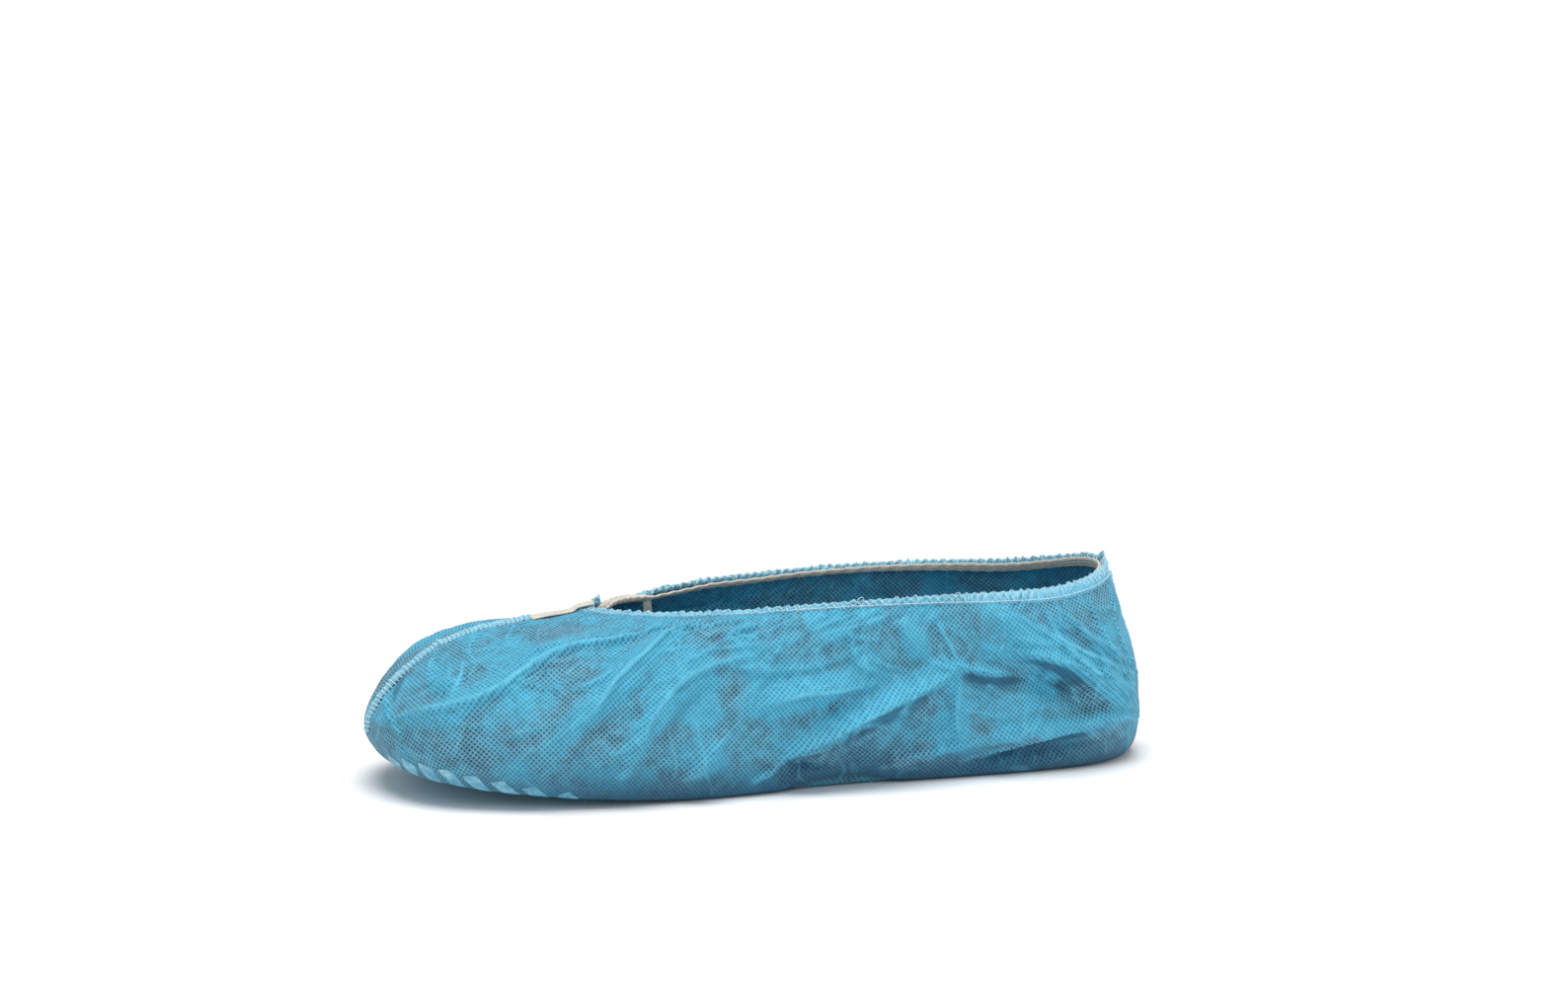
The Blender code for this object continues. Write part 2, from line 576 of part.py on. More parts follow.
def centre_on_floor(objects):
    """Moves everything so that the middle of the whole lies over the origin and the lowest point on z = 0."""
    bpy.context.view_layer.update()
    corners = np.array([obj.matrix_world @ Vector(corner) for obj in objects for corner in obj.bound_box])
    low, high = corners.min(axis=0), corners.max(axis=0)
    shift = Vector(((low[0] + high[0]) / 2, (low[1] + high[1]) / 2, low[2]))
    for obj in objects:
        obj.location -= shift


clear_scene()
cover_body(finish("spunbond cloth", CLOTH_BLUE, 0.75))
gathered_hem(finish("gathered hem", HEM_BLUE, 0.75))
elastic = finish("woven elastic", TAPE_CREAM, 0.85)
elastic_tape(elastic)
elastic_tail(elastic)
thread = finish("overlock thread", THREAD_WHITE, 0.7)
instep_seam(thread)
heel_seam(thread)
grip_bars(finish("anti-slip coating", GRIP_WHITE, 0.45))
centre_on_floor(list(bpy.data.objects))
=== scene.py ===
from math import pi, radians

import bpy
import numpy as np
from mathutils import Matrix, Vector, noise


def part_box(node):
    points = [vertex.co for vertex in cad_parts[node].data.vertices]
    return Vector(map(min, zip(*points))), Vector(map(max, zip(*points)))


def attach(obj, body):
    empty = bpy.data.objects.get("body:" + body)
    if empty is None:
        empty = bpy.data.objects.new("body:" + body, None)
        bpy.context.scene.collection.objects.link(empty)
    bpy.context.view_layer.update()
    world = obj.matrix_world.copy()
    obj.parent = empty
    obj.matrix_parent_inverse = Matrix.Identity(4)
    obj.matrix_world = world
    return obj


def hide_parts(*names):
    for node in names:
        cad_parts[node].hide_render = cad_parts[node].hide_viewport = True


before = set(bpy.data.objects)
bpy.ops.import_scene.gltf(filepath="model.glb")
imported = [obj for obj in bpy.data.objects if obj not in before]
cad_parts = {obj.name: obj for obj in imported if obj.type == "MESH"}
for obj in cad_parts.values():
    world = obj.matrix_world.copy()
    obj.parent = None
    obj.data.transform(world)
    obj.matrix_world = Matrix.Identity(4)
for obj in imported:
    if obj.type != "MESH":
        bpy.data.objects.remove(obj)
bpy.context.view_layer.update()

print("frame loaded:", len(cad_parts), "nodes")

# The whole form, in metres: toe at -X, heel at +X, the near side at -Y
form = dict(
    length=0.308, hemHeight=0.0775, underside=0.0010, toeSpring=0.0105, springStart=0.035, toeTurn=0.005,
    archRise=0.0042, archTurn=0.228, archReach=0.030, archTop=0.20, hemBand=0.0052, joinGap=0.0003,
    spineShare=0.86, curveSteps=12, leadX=0.93, leadY=0.80,
)

# Closed guide loops, heel first and toe last: widths are shares of the half width, heights of the hem's height
guides = dict(
    sole=dict(
        half=0.0510, heel=0.0045, toe=0.0085,
        near=(0, 0.33, 0.58, 0.69, 0.73, 0.76, 0.84, 0.95, 1.00, 0.94, 0.76, 0.44, 0),
        far=(0, 0.33, 0.58, 0.68, 0.69, 0.68, 0.73, 0.88, 0.98, 0.97, 0.83, 0.50, 0),
        up=(0, 0, 0, 0, 0, 0, 0, 0, 0, 0, 0, 0, 0)),
    belly=dict(
        half=0.0560, heel=0.0, toe=0.0,
        near=(0, 0.34, 0.59, 0.70, 0.74, 0.77, 0.84, 0.95, 1.00, 0.94, 0.76, 0.44, 0),
        far=(0, 0.34, 0.59, 0.70, 0.73, 0.74, 0.78, 0.90, 0.98, 0.97, 0.83, 0.50, 0),
        up=(0.13, 0.14, 0.16, 0.18, 0.20, 0.21, 0.22, 0.22, 0.21, 0.20, 0.18, 0.17, 0.165)),
    shoulder=dict(
        half=0.0515, heel=0.0010, toe=0.0085,
        near=(0, 0.36, 0.63, 0.76, 0.81, 0.84, 0.89, 0.96, 1.00, 0.93, 0.73, 0.40, 0),
        far=(0, 0.36, 0.63, 0.76, 0.81, 0.83, 0.86, 0.94, 1.00, 0.97, 0.80, 0.47, 0),
        up=(0.43, 0.44, 0.46, 0.49, 0.51, 0.52, 0.52, 0.51, 0.50, 0.49, 0.475, 0.465, 0.46)),
    vamp=dict(
        half=0.0430, heel=0.0075, toe=0.0350,
        near=(0, 0.40, 0.71, 0.87, 0.94, 0.98, 1.00, 0.98, 0.92, 0.79, 0.57, 0.29, 0),
        far=(0, 0.40, 0.71, 0.87, 0.94, 0.98, 1.00, 1.00, 0.97, 0.87, 0.66, 0.36, 0),
        up=(0.72, 0.73, 0.75, 0.77, 0.78, 0.78, 0.77, 0.75, 0.73, 0.72, 0.725, 0.74, 0.75),
        farUp=(0.72, 0.73, 0.75, 0.77, 0.77, 0.76, 0.73, 0.68, 0.64, 0.635, 0.665, 0.71, 0.75)),
    hem=dict(
        half=0.0375, heel=0.0135, toe=0.0875,
        near=(0, 0.34, 0.62, 0.82, 0.94, 1.00, 1.00, 0.93, 0.78, 0.55, 0.30, 0.11, 0),
        far=(0, 0.34, 0.62, 0.82, 0.94, 1.00, 1.00, 0.92, 0.74, 0.48, 0.24, 0.08, 0),
        up=(1.00, 0.99, 0.96, 0.935, 0.935, 0.94, 0.935, 0.92, 0.895, 0.875, 0.865, 0.865, 0.865),
        farUp=(1.00, 0.99, 0.96, 0.935, 0.935, 0.935, 0.93, 0.92, 0.915, 0.90, 0.88, 0.87, 0.865)),
)

# Places are thousandths along from heel to toe, and up from the sole's edge to the hem. Sizes are in mm.
# Broad folds: the line, its rise, and the half width on each side
broadFolds = dict(
    near=[
        (((980, 220), (940, 280), (910, 420), (885, 700)), 2.2, 8, 8),
        (((970, 400), (940, 340)), 1.6, 6, 6),
        (((760, 820), (750, 550), (780, 330), (820, 180)), 2.4, 8.5, 8.5),
        (((670, 660), (680, 400), (720, 170)), 2.4, 8, 8),
        (((860, 500), (830, 340)), -2.0, 9.5, 9.5),
        (((570, 410), (500, 460), (430, 530), (420, 660)), 2.6, 9.5, 9.5),
        (((500, 190), (440, 310), (370, 440), (290, 620)), 3.2, 10, 7),
        (((440, 120), (370, 240), (300, 380)), -2.4, 11, 11),
        (((230, 920), (170, 720), (100, 560), (30, 340)), 3.4, 8.5, 8.5),
        (((220, 620), (150, 520), (90, 380)), -3.2, 9, 9),
        (((290, 580), (270, 240)), 1.8, 7, 7),
        (((280, 50), (200, 120), (120, 180)), -4.2, 9, 9),
        (((260, 160), (170, 240), (60, 280)), 2.2, 7.5, 7.5),
        (((520, 70), (480, 140)), -2.4, 9.5, 9.5),
        (((640, 120), (590, 240)), 2.0, 8, 8),
        (((400, 880), (340, 660)), 1.8, 8, 8),
    ],
    far=[
        (((985, 340), (970, 560), (965, 740)), 2.4, 11, 11),
        (((940, 240), (880, 400), (840, 640)), 2.4, 9, 9),
        (((780, 180), (700, 440), (660, 780)), 2.6, 8.5, 8.5),
        (((660, 140), (580, 380), (540, 640)), 2.6, 8.5, 8.5),
        (((720, 240), (640, 400)), -2.2, 9, 9),
        (((500, 140), (420, 340), (340, 600)), 3.2, 8.5, 8.5),
        (((420, 120), (340, 280), (280, 440)), -2.8, 9, 9),
        (((240, 880), (160, 620), (50, 340)), 3.0, 8.5, 8.5),
        (((240, 60), (150, 140), (90, 220)), -3.4, 9, 9),
    ],
)

# Creases, written from the toe's end: rise, then the half width of the flank above and of the flank below,
# and how strong the painted highlight on the crest and the painted shade in its lee are
creases = dict(
    near=[
        (((1000, 170), (975, 240), (935, 300), (910, 350), (890, 440), (880, 550), (865, 660), (820, 760),
         (815, 910), (790, 1000)), 1.5, 3.2, 2.2, 1.0),
        (((815, 420), (785, 480), (765, 550)), 1.0, 2.6, 1.8, 0.9),
        (((815, 210), (790, 280), (770, 350), (760, 490), (750, 630), (770, 820), (780, 980)), 1.4, 2.6,
         2.2, 0.9),
        (((715, 160), (700, 260), (695, 340), (675, 480), (640, 580), (590, 630)), 1.3, 2.8, 2.0, 0.9),
        (((700, 360), (685, 430), (665, 500), (650, 560)), -1.1, 1.8, 2.6, 0.0),
        (((650, 100), (615, 180), (595, 250), (570, 340)), 0.9, 2.4, 2.0, 0.6),
        (((940, 300), (950, 410), (970, 510)), 0.9, 2.2, 2.2, 0.8),
        (((975, 310), (972, 380), (975, 430)), -1.1, 2.4, 2.4, 0.0),
        (((765, 180), (730, 210), (700, 260)), 0.9, 2.4, 2.0, 0.8),
        (((890, 440), (845, 440), (815, 420)), 0.8, 2.2, 2.0, 0.6),
        (((905, 570), (880, 660), (850, 720)), 0.7, 2.4, 2.0, 0.6),
        (((945, 250), (905, 250), (875, 280)), 0.7, 2.2, 2.0, 0.5),
        (((880, 210), (840, 260), (800, 310)), 0.7, 2.4, 2.2, 0.5),
        (((520, 160), (470, 235), (425, 325), (375, 425), (330, 510), (290, 600)), 3.1, 6.0, 1.5, 1.0),
        (((560, 60), (520, 120), (470, 240)), 1.4, 3.5, 1.6, 0.8),
        (((640, 600), (560, 560), (480, 600), (430, 700)), 0.9, 3.6, 2.6, 0.5),
        (((285, 620), (255, 600), (230, 585), (195, 590)), 2.1, 3.8, 1.6, 0.4),
        (((215, 720), (180, 690), (155, 660), (125, 600), (100, 500), (90, 430)), 2.2, 3.4, 1.4, 0.9),
        (((180, 600), (150, 530), (120, 460)), -1.2, 2.2, 2.2, 0.0),
        (((285, 580), (285, 360), (275, 150)), 1.1, 1.9, 1.9, 0.7),
        (((275, 80), (225, 120), (180, 170), (145, 215), (110, 250)), 2.0, 3.6, 1.5, 0.7),
        (((350, 910), (305, 750), (285, 620)), 1.1, 2.4, 2.4, 0.8),
        (((245, 970), (155, 790), (105, 580), (25, 310)), 1.2, 2.2, 1.8, 0.8),
        (((80, 980), (75, 920), (60, 700), (30, 380)), 1.0, 1.8, 1.8, 0.7),
        (((165, 990), (135, 750), (105, 580)), 1.0, 2.0, 1.8, 0.7),
        (((20, 950), (35, 740), (10, 400)), 0.8, 1.8, 1.8, 0.7),
        (((95, 590), (70, 460), (30, 320)), -1.3, 1.8, 1.8, 0.0),
        (((465, 760), (415, 740), (425, 840)), 0.7, 1.8, 1.6, 0.6),
        (((245, 660), (210, 770)), 0.9, 1.8, 1.6, 0.4),
        (((410, 630), (385, 610), (355, 590)), 0.7, 1.8, 1.6, 0.5),
        (((560, 370), (515, 450), (465, 480), (410, 510), (380, 560)), 1.4, 4.0, 2.4, 1.0),
        (((460, 370), (435, 470), (410, 500)), -1.0, 1.8, 2.0, 0.0),
        (((505, 150), (480, 110), (445, 70)), -1.6, 2.0, 3.0, 0.0),
        (((495, 170), (455, 200), (425, 260)), 0.9, 2.4, 1.6, 0.5),
        (((90, 280), (60, 290), (15, 220)), 1.3, 2.4, 1.8, 0.5),
        (((370, 120), (300, 160), (255, 220)), 0.9, 2.4, 2.0, 0.5),
        (((490, 710), (460, 760), (430, 610), (380, 570)), 0.9, 3.0, 2.0, 0.5),
        (((600, 880), (560, 700), (560, 500)), 0.8, 2.4, 2.2, 0.6),
        (((700, 950), (660, 800), (600, 720)), 0.8, 2.2, 2.0, 0.6),
        (((998, 520), (990, 440), (978, 360)), 1.2, 2.6, 1.8, 0.7),
        (((995, 660), (982, 580), (965, 500)), 1.1, 2.4, 1.8, 0.6),
        (((992, 800), (975, 700), (950, 600)), 0.9, 2.4, 2.0, 0.6),
        (((999, 260), (992, 220), (975, 160)), 1.2, 2.4, 2.0, 0.5),
        (((340, 990), (345, 800), (330, 660), (295, 600)), 0.5, 2.4, 2.0, 0.3),
        (((400, 970), (385, 820), (350, 700)), 0.8, 1.8, 1.6, 0.6),
        (((300, 960), (270, 800), (215, 660)), 0.6, 2.2, 1.8, 0.3),
        (((210, 970), (150, 800), (85, 620), (20, 440)), 1.1, 2.0, 1.6, 0.8),
        (((150, 980), (100, 800), (50, 620), (10, 500)), 1.0, 2.0, 1.6, 0.7),
        (((120, 900), (90, 720), (60, 550)), 0.8, 1.6, 1.4, 0.6),
    ],
    far=[
        (((970, 200), (930, 300), (900, 450), (870, 700)), 1.3, 2.8, 2.2, 0.9),
        (((880, 180), (830, 340), (800, 580), (790, 900)), 1.3, 2.6, 2.2, 0.9),
        (((760, 160), (720, 340), (670, 580), (610, 760)), 1.4, 2.8, 2.0, 0.9),
        (((620, 140), (570, 280), (500, 420), (430, 550)), 1.6, 4.2, 2.0, 0.8),
        (((520, 120), (450, 240), (380, 380), (310, 560)), 2.4, 5.0, 1.7, 0.8),
        (((340, 900), (300, 740), (270, 580), (270, 300)), 1.1, 2.2, 2.2, 0.7),
        (((250, 960), (160, 780), (90, 550), (30, 310)), 1.3, 2.2, 1.8, 0.8),
        (((120, 980), (80, 780), (30, 400)), 1.0, 1.8, 1.8, 0.7),
        (((240, 600), (180, 520), (120, 420)), -1.3, 2.4, 2.4, 0.0),
        (((260, 120), (180, 190), (100, 260)), 1.5, 3.4, 1.6, 0.3),
        (((660, 920), (600, 780), (520, 700)), 0.9, 2.2, 2.0, 0.6),
    ],
)

# Painted shade in hollows in the lee of folds, where the cloth lies back and little light comes: half width,
# and how dark
hollowShade = dict(
    near=[
        (((520, 90), (470, 160), (410, 270), (350, 390), (300, 510)), 4.2, 0.62),
        (((420, 280), (375, 375), (330, 455), (295, 545)), 1.8, 0.8),
        (((285, 570), (245, 550), (210, 540), (185, 550)), 2.6, 0.95),
        (((275, 530), (230, 520), (185, 500)), 3.6, 0.55),
        (((195, 665), (165, 635), (140, 585), (115, 510), (95, 420)), 2.5, 0.95),
        (((175, 600), (140, 510), (105, 400)), 3.4, 0.6),
        (((95, 530), (65, 440), (20, 310)), 2.2, 0.7),
        (((275, 30), (220, 75), (180, 130), (145, 180), (115, 205), (70, 220)), 2.6, 0.92),
        (((285, 30), (210, 70), (130, 130), (50, 170)), 4.0, 0.62),
        (((505, 70), (480, 90), (450, 55)), 3.2, 0.72),
        (((998.5, 360), (996.5, 310), (992, 260)), 2.8, 0.6),
        (((790, 180), (800, 400), (790, 600)), 3.4, 0.36),
        (((670, 180), (660, 360), (620, 520)), 3.4, 0.36),
        (((900, 100), (800, 60), (660, 40), (540, 40)), 3.6, 0.45),
    ],
    far=[
        (((480, 60), (400, 200), (330, 360), (280, 520)), 4.5, 0.5),
        (((260, 60), (170, 130), (70, 190)), 3.4, 0.6),
        (((200, 540), (140, 460), (90, 380)), 3.0, 0.5),
    ],
)
foldGain, creaseGain = 1.45, 1.75
# Painted with the relief: a painted highlight as a pale line on a crest, painted shade in its lee, and a band
# of painted shade low on the cloth
tones = dict(within=0.012, crest=0.0012, leeAway=0.0020, leeWidth=0.0010, leeDepth=0.62, lowDepth=0.72,
             lowTop=0.30)


def tableRows(table, *more):
    return [(side, [(along / 1000, up / 1000) for along, up in line], *rest, *more)
            for side, rows in table.items() for line, *rest in rows]


def smoothThrough(values, shares):  # a cubic through evenly spaced values
    values = np.asarray(values, float)
    place = np.clip(shares, 0, 1) * (len(values) - 1)
    i = np.minimum(place.astype(int), len(values) - 2)
    f = place - i
    ends = np.concatenate([[2 * values[0] - values[1]], values, [2 * values[-1] - values[-2]]])
    before, a, b, after = (ends[i + k] for k in range(4))
    slopeA, slopeB = (b - before) / 2, (after - a) / 2
    return ((2 * f**3 - 3 * f**2 + 1) * a + (f**3 - 2 * f**2 + f) * slopeA
            + (-2 * f**3 + 3 * f**2) * b + (f**3 - f**2) * slopeB)


def toeLift(x):
    share = np.clip((-form["springStart"] - x) / (form["length"] / 2 - form["springStart"]), 0, 1)
    return form["toeSpring"] * share**1.35


def toeTurn(x):
    return form["toeTurn"] * np.clip(-x / (form["length"] / 2), 0, 1) ** 2


def guideLoop(name, turns):  # turn 0 is the heel, 0.5 the toe by way of the near side
    guide = guides[name]
    turns = np.mod(turns, 1)
    near = turns <= 0.5
    share = np.where(near, 2 * turns, 2 - 2 * turns)
    heelX, toeX = form["length"] / 2 - guide["heel"], guide["toe"] - form["length"] / 2
    x = heelX + (toeX - heelX) * (1 - np.cos(pi * share)) / 2
    width, up = (np.where(near, smoothThrough(guide[a], share), smoothThrough(guide.get(b, guide[a]), share))
                 for a, b in (("near", "far"), ("up", "farUp")))
    width = guide["half"] * width
    z = form["underside"] + (form["hemHeight"] - form["underside"]) * up + toeLift(x) * (1 - up)
    return np.stack([x, toeTurn(x) + np.where(near, -width, width), z], axis=-1)


def meridians(turns):  # fine points up the cloth from the sole's edge to the hem's, one line for each turn
    loops = [guideLoop(name, turns) for name in guides]
    knots = [loops[0] * (form["leadX"], form["leadY"], 1), *loops, 2 * loops[-1] - loops[-2]]
    points = []
    for a, b, c, d in zip(knots, knots[1:], knots[2:], knots[3:]):
        for step in range(form["curveSteps"]):
            f = step / form["curveSteps"]
            points.append(0.5 * (2 * b + (c - a) * f + (2 * a - 5 * b + 4 * c - d) * f**2
                                 + (3 * b - a - 3 * c + d) * f**3))
    return np.stack(points + [knots[-2]], axis=1)


def lengthsAlong(line):
    return np.concatenate([[0], np.cumsum(np.linalg.norm(np.diff(line, axis=0), axis=1))])


def sampled(wanted, run, values):
    return np.stack([np.interp(wanted, run, values[:, k]) for k in range(values.shape[1])], axis=-1)


def atLengths(line, wanted):
    return sampled(wanted, lengthsAlong(line), line)


def unit(way):
    return way / np.linalg.norm(way)


def clothStrip(turns, lengthsFor):  # rows by columns of points on the smooth cloth
    columns = [atLengths(line, lengthsFor(lengthsAlong(line)[-1])) for line in meridians(turns)]
    return np.array(columns).transpose(1, 0, 2)


def outwards(rows, closed=True):
    if closed:
        across = np.roll(rows, -1, axis=1) - np.roll(rows, 1, axis=1)
    else:
        across = np.gradient(rows, axis=1)
    normals = np.cross(np.gradient(rows, axis=0), across)
    return normals / np.maximum(np.linalg.norm(normals, axis=2, keepdims=True), 1e-9)


def placesOnCloth(side, path):  # a line through places given as shares along and up
    path = np.clip(np.asarray(path, float), (0, 0), (1, 2))
    turns = np.arccos(1 - 2 * path[:, 0]) / (2 * pi)
    lines = meridians(turns if side == "near" else 1 - turns)
    return np.array([atLengths(line, up * (lengthsAlong(line)[-1] - form["hemBand"]))
                     for line, up in zip(lines, path[:, 1])])


def besideLine(points, normals, line):  # distance to a line, which side seen from outside, and share along it
    lengths = lengthsAlong(line)
    nearest = np.full(points.shape[:-1], np.inf)
    share, side = np.zeros_like(nearest), np.ones_like(nearest)
    for a, b, start in zip(line, line[1:], lengths):
        way = b - a
        f = np.clip(((points - a) @ way) / (way @ way), 0, 1)
        off = points - a - f[..., None] * way
        distance = np.linalg.norm(off, axis=-1)
        closer = distance < nearest
        nearest = np.where(closer, distance, nearest)
        share = np.where(closer, (start + f * np.linalg.norm(way)) / lengths[-1], share)
        leftward = (off * np.cross(normals, way)).sum(axis=-1)
        side = np.where(closer, np.sign(leftward), side)
    return nearest, side, share


def softLine(path):  # a smoother line through few places
    path = np.array(path)
    if len(path) < 3:
        return path
    shares = np.linspace(0, 1, 3 * len(path) - 2)
    return np.stack([smoothThrough(path[:, k], shares) for k in range(2)], axis=-1)


# The scene's own wandering small creases, seeded
crumple = dict(seed=11, count=300, length=(0.008, 0.034), rise=(0.35, 1.05), reach=(1.3, 2.6))


def smallCreases():
    rng = np.random.default_rng(crumple["seed"])
    made = []
    for n in range(crumple["count"]):
        side = "near" if n % 2 else "far"
        along, up = rng.uniform(0.02, 0.98), rng.uniform(0.14, 0.92)
        # The cloth is drawn towards the opening: forward of it the creases lean back, and aft of it forward
        lean = np.interp(along, (0.0, 0.2, 0.35, 0.6, 0.85, 1.0), (1.1, 1.3, 0.2, -0.5, -0.9, -0.5))
        angle = lean + rng.normal(0, 0.40)
        reach = rng.uniform(*crumple["length"])
        dAlong, dUp = reach * np.sin(angle) / form["length"] * 0.9, reach * np.cos(angle) / 0.085
        bend = rng.normal(0, 0.12, 2) * (dUp, dAlong)
        path = [(along + t * dAlong + (1 - (2 * t) ** 2) * bend[0],
                 up + t * dUp + (1 - (2 * t) ** 2) * bend[1]) for t in (0.5, 0, -0.5)]
        path = [(min(max(a, 0.004), 0.996), min(max(u, 0.06), 0.985)) for a, u in path]
        rise = rng.uniform(*crumple["rise"]) * (1 if rng.random() < 0.7 else -1)
        width = rng.uniform(*crumple["reach"])
        made.append((side, path, rise, width, width * rng.uniform(0.55, 1.0), 0.55 if rise > 0 else 0.0))
    return made


foldTable = [(placesOnCloth(side, softLine(path)), gain * rise, *rest)
             for gain, table in ((foldGain, tableRows(broadFolds, 0.0)), (creaseGain, tableRows(creases)),
                                 (1.0, smallCreases()))
             for side, path, rise, *rest in table]
hollowShadeTable = [(placesOnCloth(side, softLine(path)), *rest) for side, path, *rest in tableRows(hollowShade)]


def nearLine(rows, normals, line):  # which points lie about a line, and how they lie beside it
    low, high = line.min(axis=0) - tones["within"], line.max(axis=0) + tones["within"]
    r, c = np.nonzero(((rows > low) & (rows < high)).all(axis=2))
    return r, c, *(besideLine(rows[r, c], normals[r, c], line) if len(r) else ())


def foldRelief(rows, normals, shares):  # how far each point moves along its normal, and its painted tone: highlight above zero, shade below zero
    relief, bright, dark = (np.zeros(rows.shape[:2]) for _ in range(3))
    for line, rise, above, below, shine in foldTable:
        r, c, *beside = nearLine(rows, normals, line)
        if not beside:
            continue
        near, left, share = beside
        flank = np.where(left > 0, above, below) / 1000
        away = np.clip(1 - near / flank, 0, 1)
        sharp = min(above, below) < 6
        across = away ** 1.7 if sharp else np.clip(1 - (near / flank) ** 2, 0, 1) ** 2
        taper = 0.25 + 0.75 * np.sin(pi * np.clip(share, 0, 1)) ** 0.6
        relief[r, c] += rise / 1000 * across * taper
        # A painted highlight along the crest, and painted shade in the lee on its lower side
        if shine:
            crest = np.exp(-(near / tones["crest"]) ** 2) * (taper - 0.25) * shine
            bright[r, c] = np.maximum(bright[r, c], crest)
            paintedShade = np.exp(-((near - tones["leeAway"]) / tones["leeWidth"]) ** 2) * (left < 0)
            paintedShade = paintedShade * (taper - 0.25) * shine * tones["leeDepth"]
            dark[r, c] = np.maximum(dark[r, c], paintedShade)
    # Painted shade in the hollows
    for line, width, depth in hollowShadeTable:
        r, c, *beside = nearLine(rows, normals, line)
        if beside:
            near, _, share = beside
            soft = np.exp(-(near / width * 1000) ** 2) * np.sin(pi * np.clip(share, 0, 1)) ** 0.5
            dark[r, c] = np.maximum(dark[r, c], soft * depth)
    shares = np.asarray(shares)[:, None]
    fade = np.clip(shares / 0.10, 0, 1) * np.clip((1 - shares) / 0.10, 0, 1)
    # Painted shade: the cloth low down, near the sole, is darker, less so at the toe
    low = tones["lowDepth"] * np.clip(1 - shares / tones["lowTop"], 0, 1)
    low = low * np.interp(rows[..., 0], (-0.13, -0.07), (0.5, 1.0))  # less at the toe
    dark = np.maximum(dark, low)
    return relief * fade, bright * np.clip(shares / 0.08, 0, 1) - dark * (1 - bright)


def archLift(turns, shares):
    here = np.clip(1 - ((np.mod(turns, 1) - form["archTurn"]) / form["archReach"]) ** 2, 0, 1) ** 2
    return form["archRise"] * here[None, :] * np.clip(1 - np.asarray(shares) / form["archTop"], 0, 1)[:, None]


def crumpled(points, size, octaves=3):  # smooth noise between about -1 and 1, the same on each run
    return np.array([noise.fractal(Vector(p) / size, 0.9, 2.1, octaves) for p in points])


def crumpledAlong(run, size, octaves, aside=0.0):
    return crumpled([(at, aside, 0.0) for at in run], size, octaves)


# Where the CAD model stands: the same form, moved so that the middle of the whole is over the origin
coverLow, coverHigh = (np.array(corner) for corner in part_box("cover_body"))


def setValues(obj, **values):  # one value, or one for each point, under a name that a material reads
    for key, value in values.items():
        each = np.broadcast_to(np.asarray(value, float), len(obj.data.vertices))
        obj.data.attributes.new(key, "FLOAT", "POINT").data.foreach_set("value", each)


def meshOf(name, points, faces, uv=None, coat=None, smooth=True):
    mesh = bpy.data.meshes.new(name)
    mesh.from_pydata([tuple(p) for p in points], [], [tuple(int(i) for i in face) for face in faces])
    if uv is not None:
        mesh.uv_layers.new(name="cut").data.foreach_set("uv", np.asarray(uv, float).ravel())
    if coat:
        mesh.materials.append(coat)
    mesh.polygons.foreach_set("use_smooth", [smooth] * len(mesh.polygons))
    mesh.update()
    obj = bpy.data.objects.new(name, mesh)
    bpy.context.scene.collection.objects.link(obj)
    return obj


def sweep(name, sections, coat, closed=False):  # a skin over sections of equal points, capped if open
    sections = np.asarray(sections, float)
    count, sides = sections.shape[:2]
    middles = sections.mean(axis=1)
    run = lengthsAlong(middles)
    run = np.append(run, run[-1] + np.linalg.norm(middles[-1] - middles[0]))
    ring = np.linalg.norm(np.roll(sections, -1, axis=1) - sections, axis=2).mean(axis=0)
    girth = np.concatenate([[0], np.cumsum(ring)])
    faces, uv = [], []
    for i in range(count if closed else count - 1):
        j = (i + 1) % count
        for k in range(sides):
            m = (k + 1) % sides
            faces.append((i * sides + k, i * sides + m, j * sides + m, j * sides + k))
            uv += [(run[a], girth[b]) for a, b in ((i, k), (i, k + 1), (i + 1, k + 1), (i + 1, k))]
    if not closed:
        for i, order in ((0, range(sides)[::-1]), (count - 1, range(sides))):
            faces.append(tuple(i * sides + k for k in order))
            uv += [(run[i], girth[k]) for k in order]
    return facingOut(meshOf(name, sections.reshape(-1, 3), faces, uv, coat))


def facingOut(obj):
    mesh = obj.data
    mesh.calc_loop_triangles()
    corners = np.empty(len(mesh.vertices) * 3)
    mesh.vertices.foreach_get("co", corners)
    corners = corners.reshape(-1, 3)
    order = np.array([t.vertices[:] for t in mesh.loop_triangles])
    a, b, c = corners[order[:, 0]], corners[order[:, 1]], corners[order[:, 2]]
    if (a * np.cross(b, c)).sum() < 0:  # the signed volume of a closed skin
        mesh.flip_normals()
    return obj


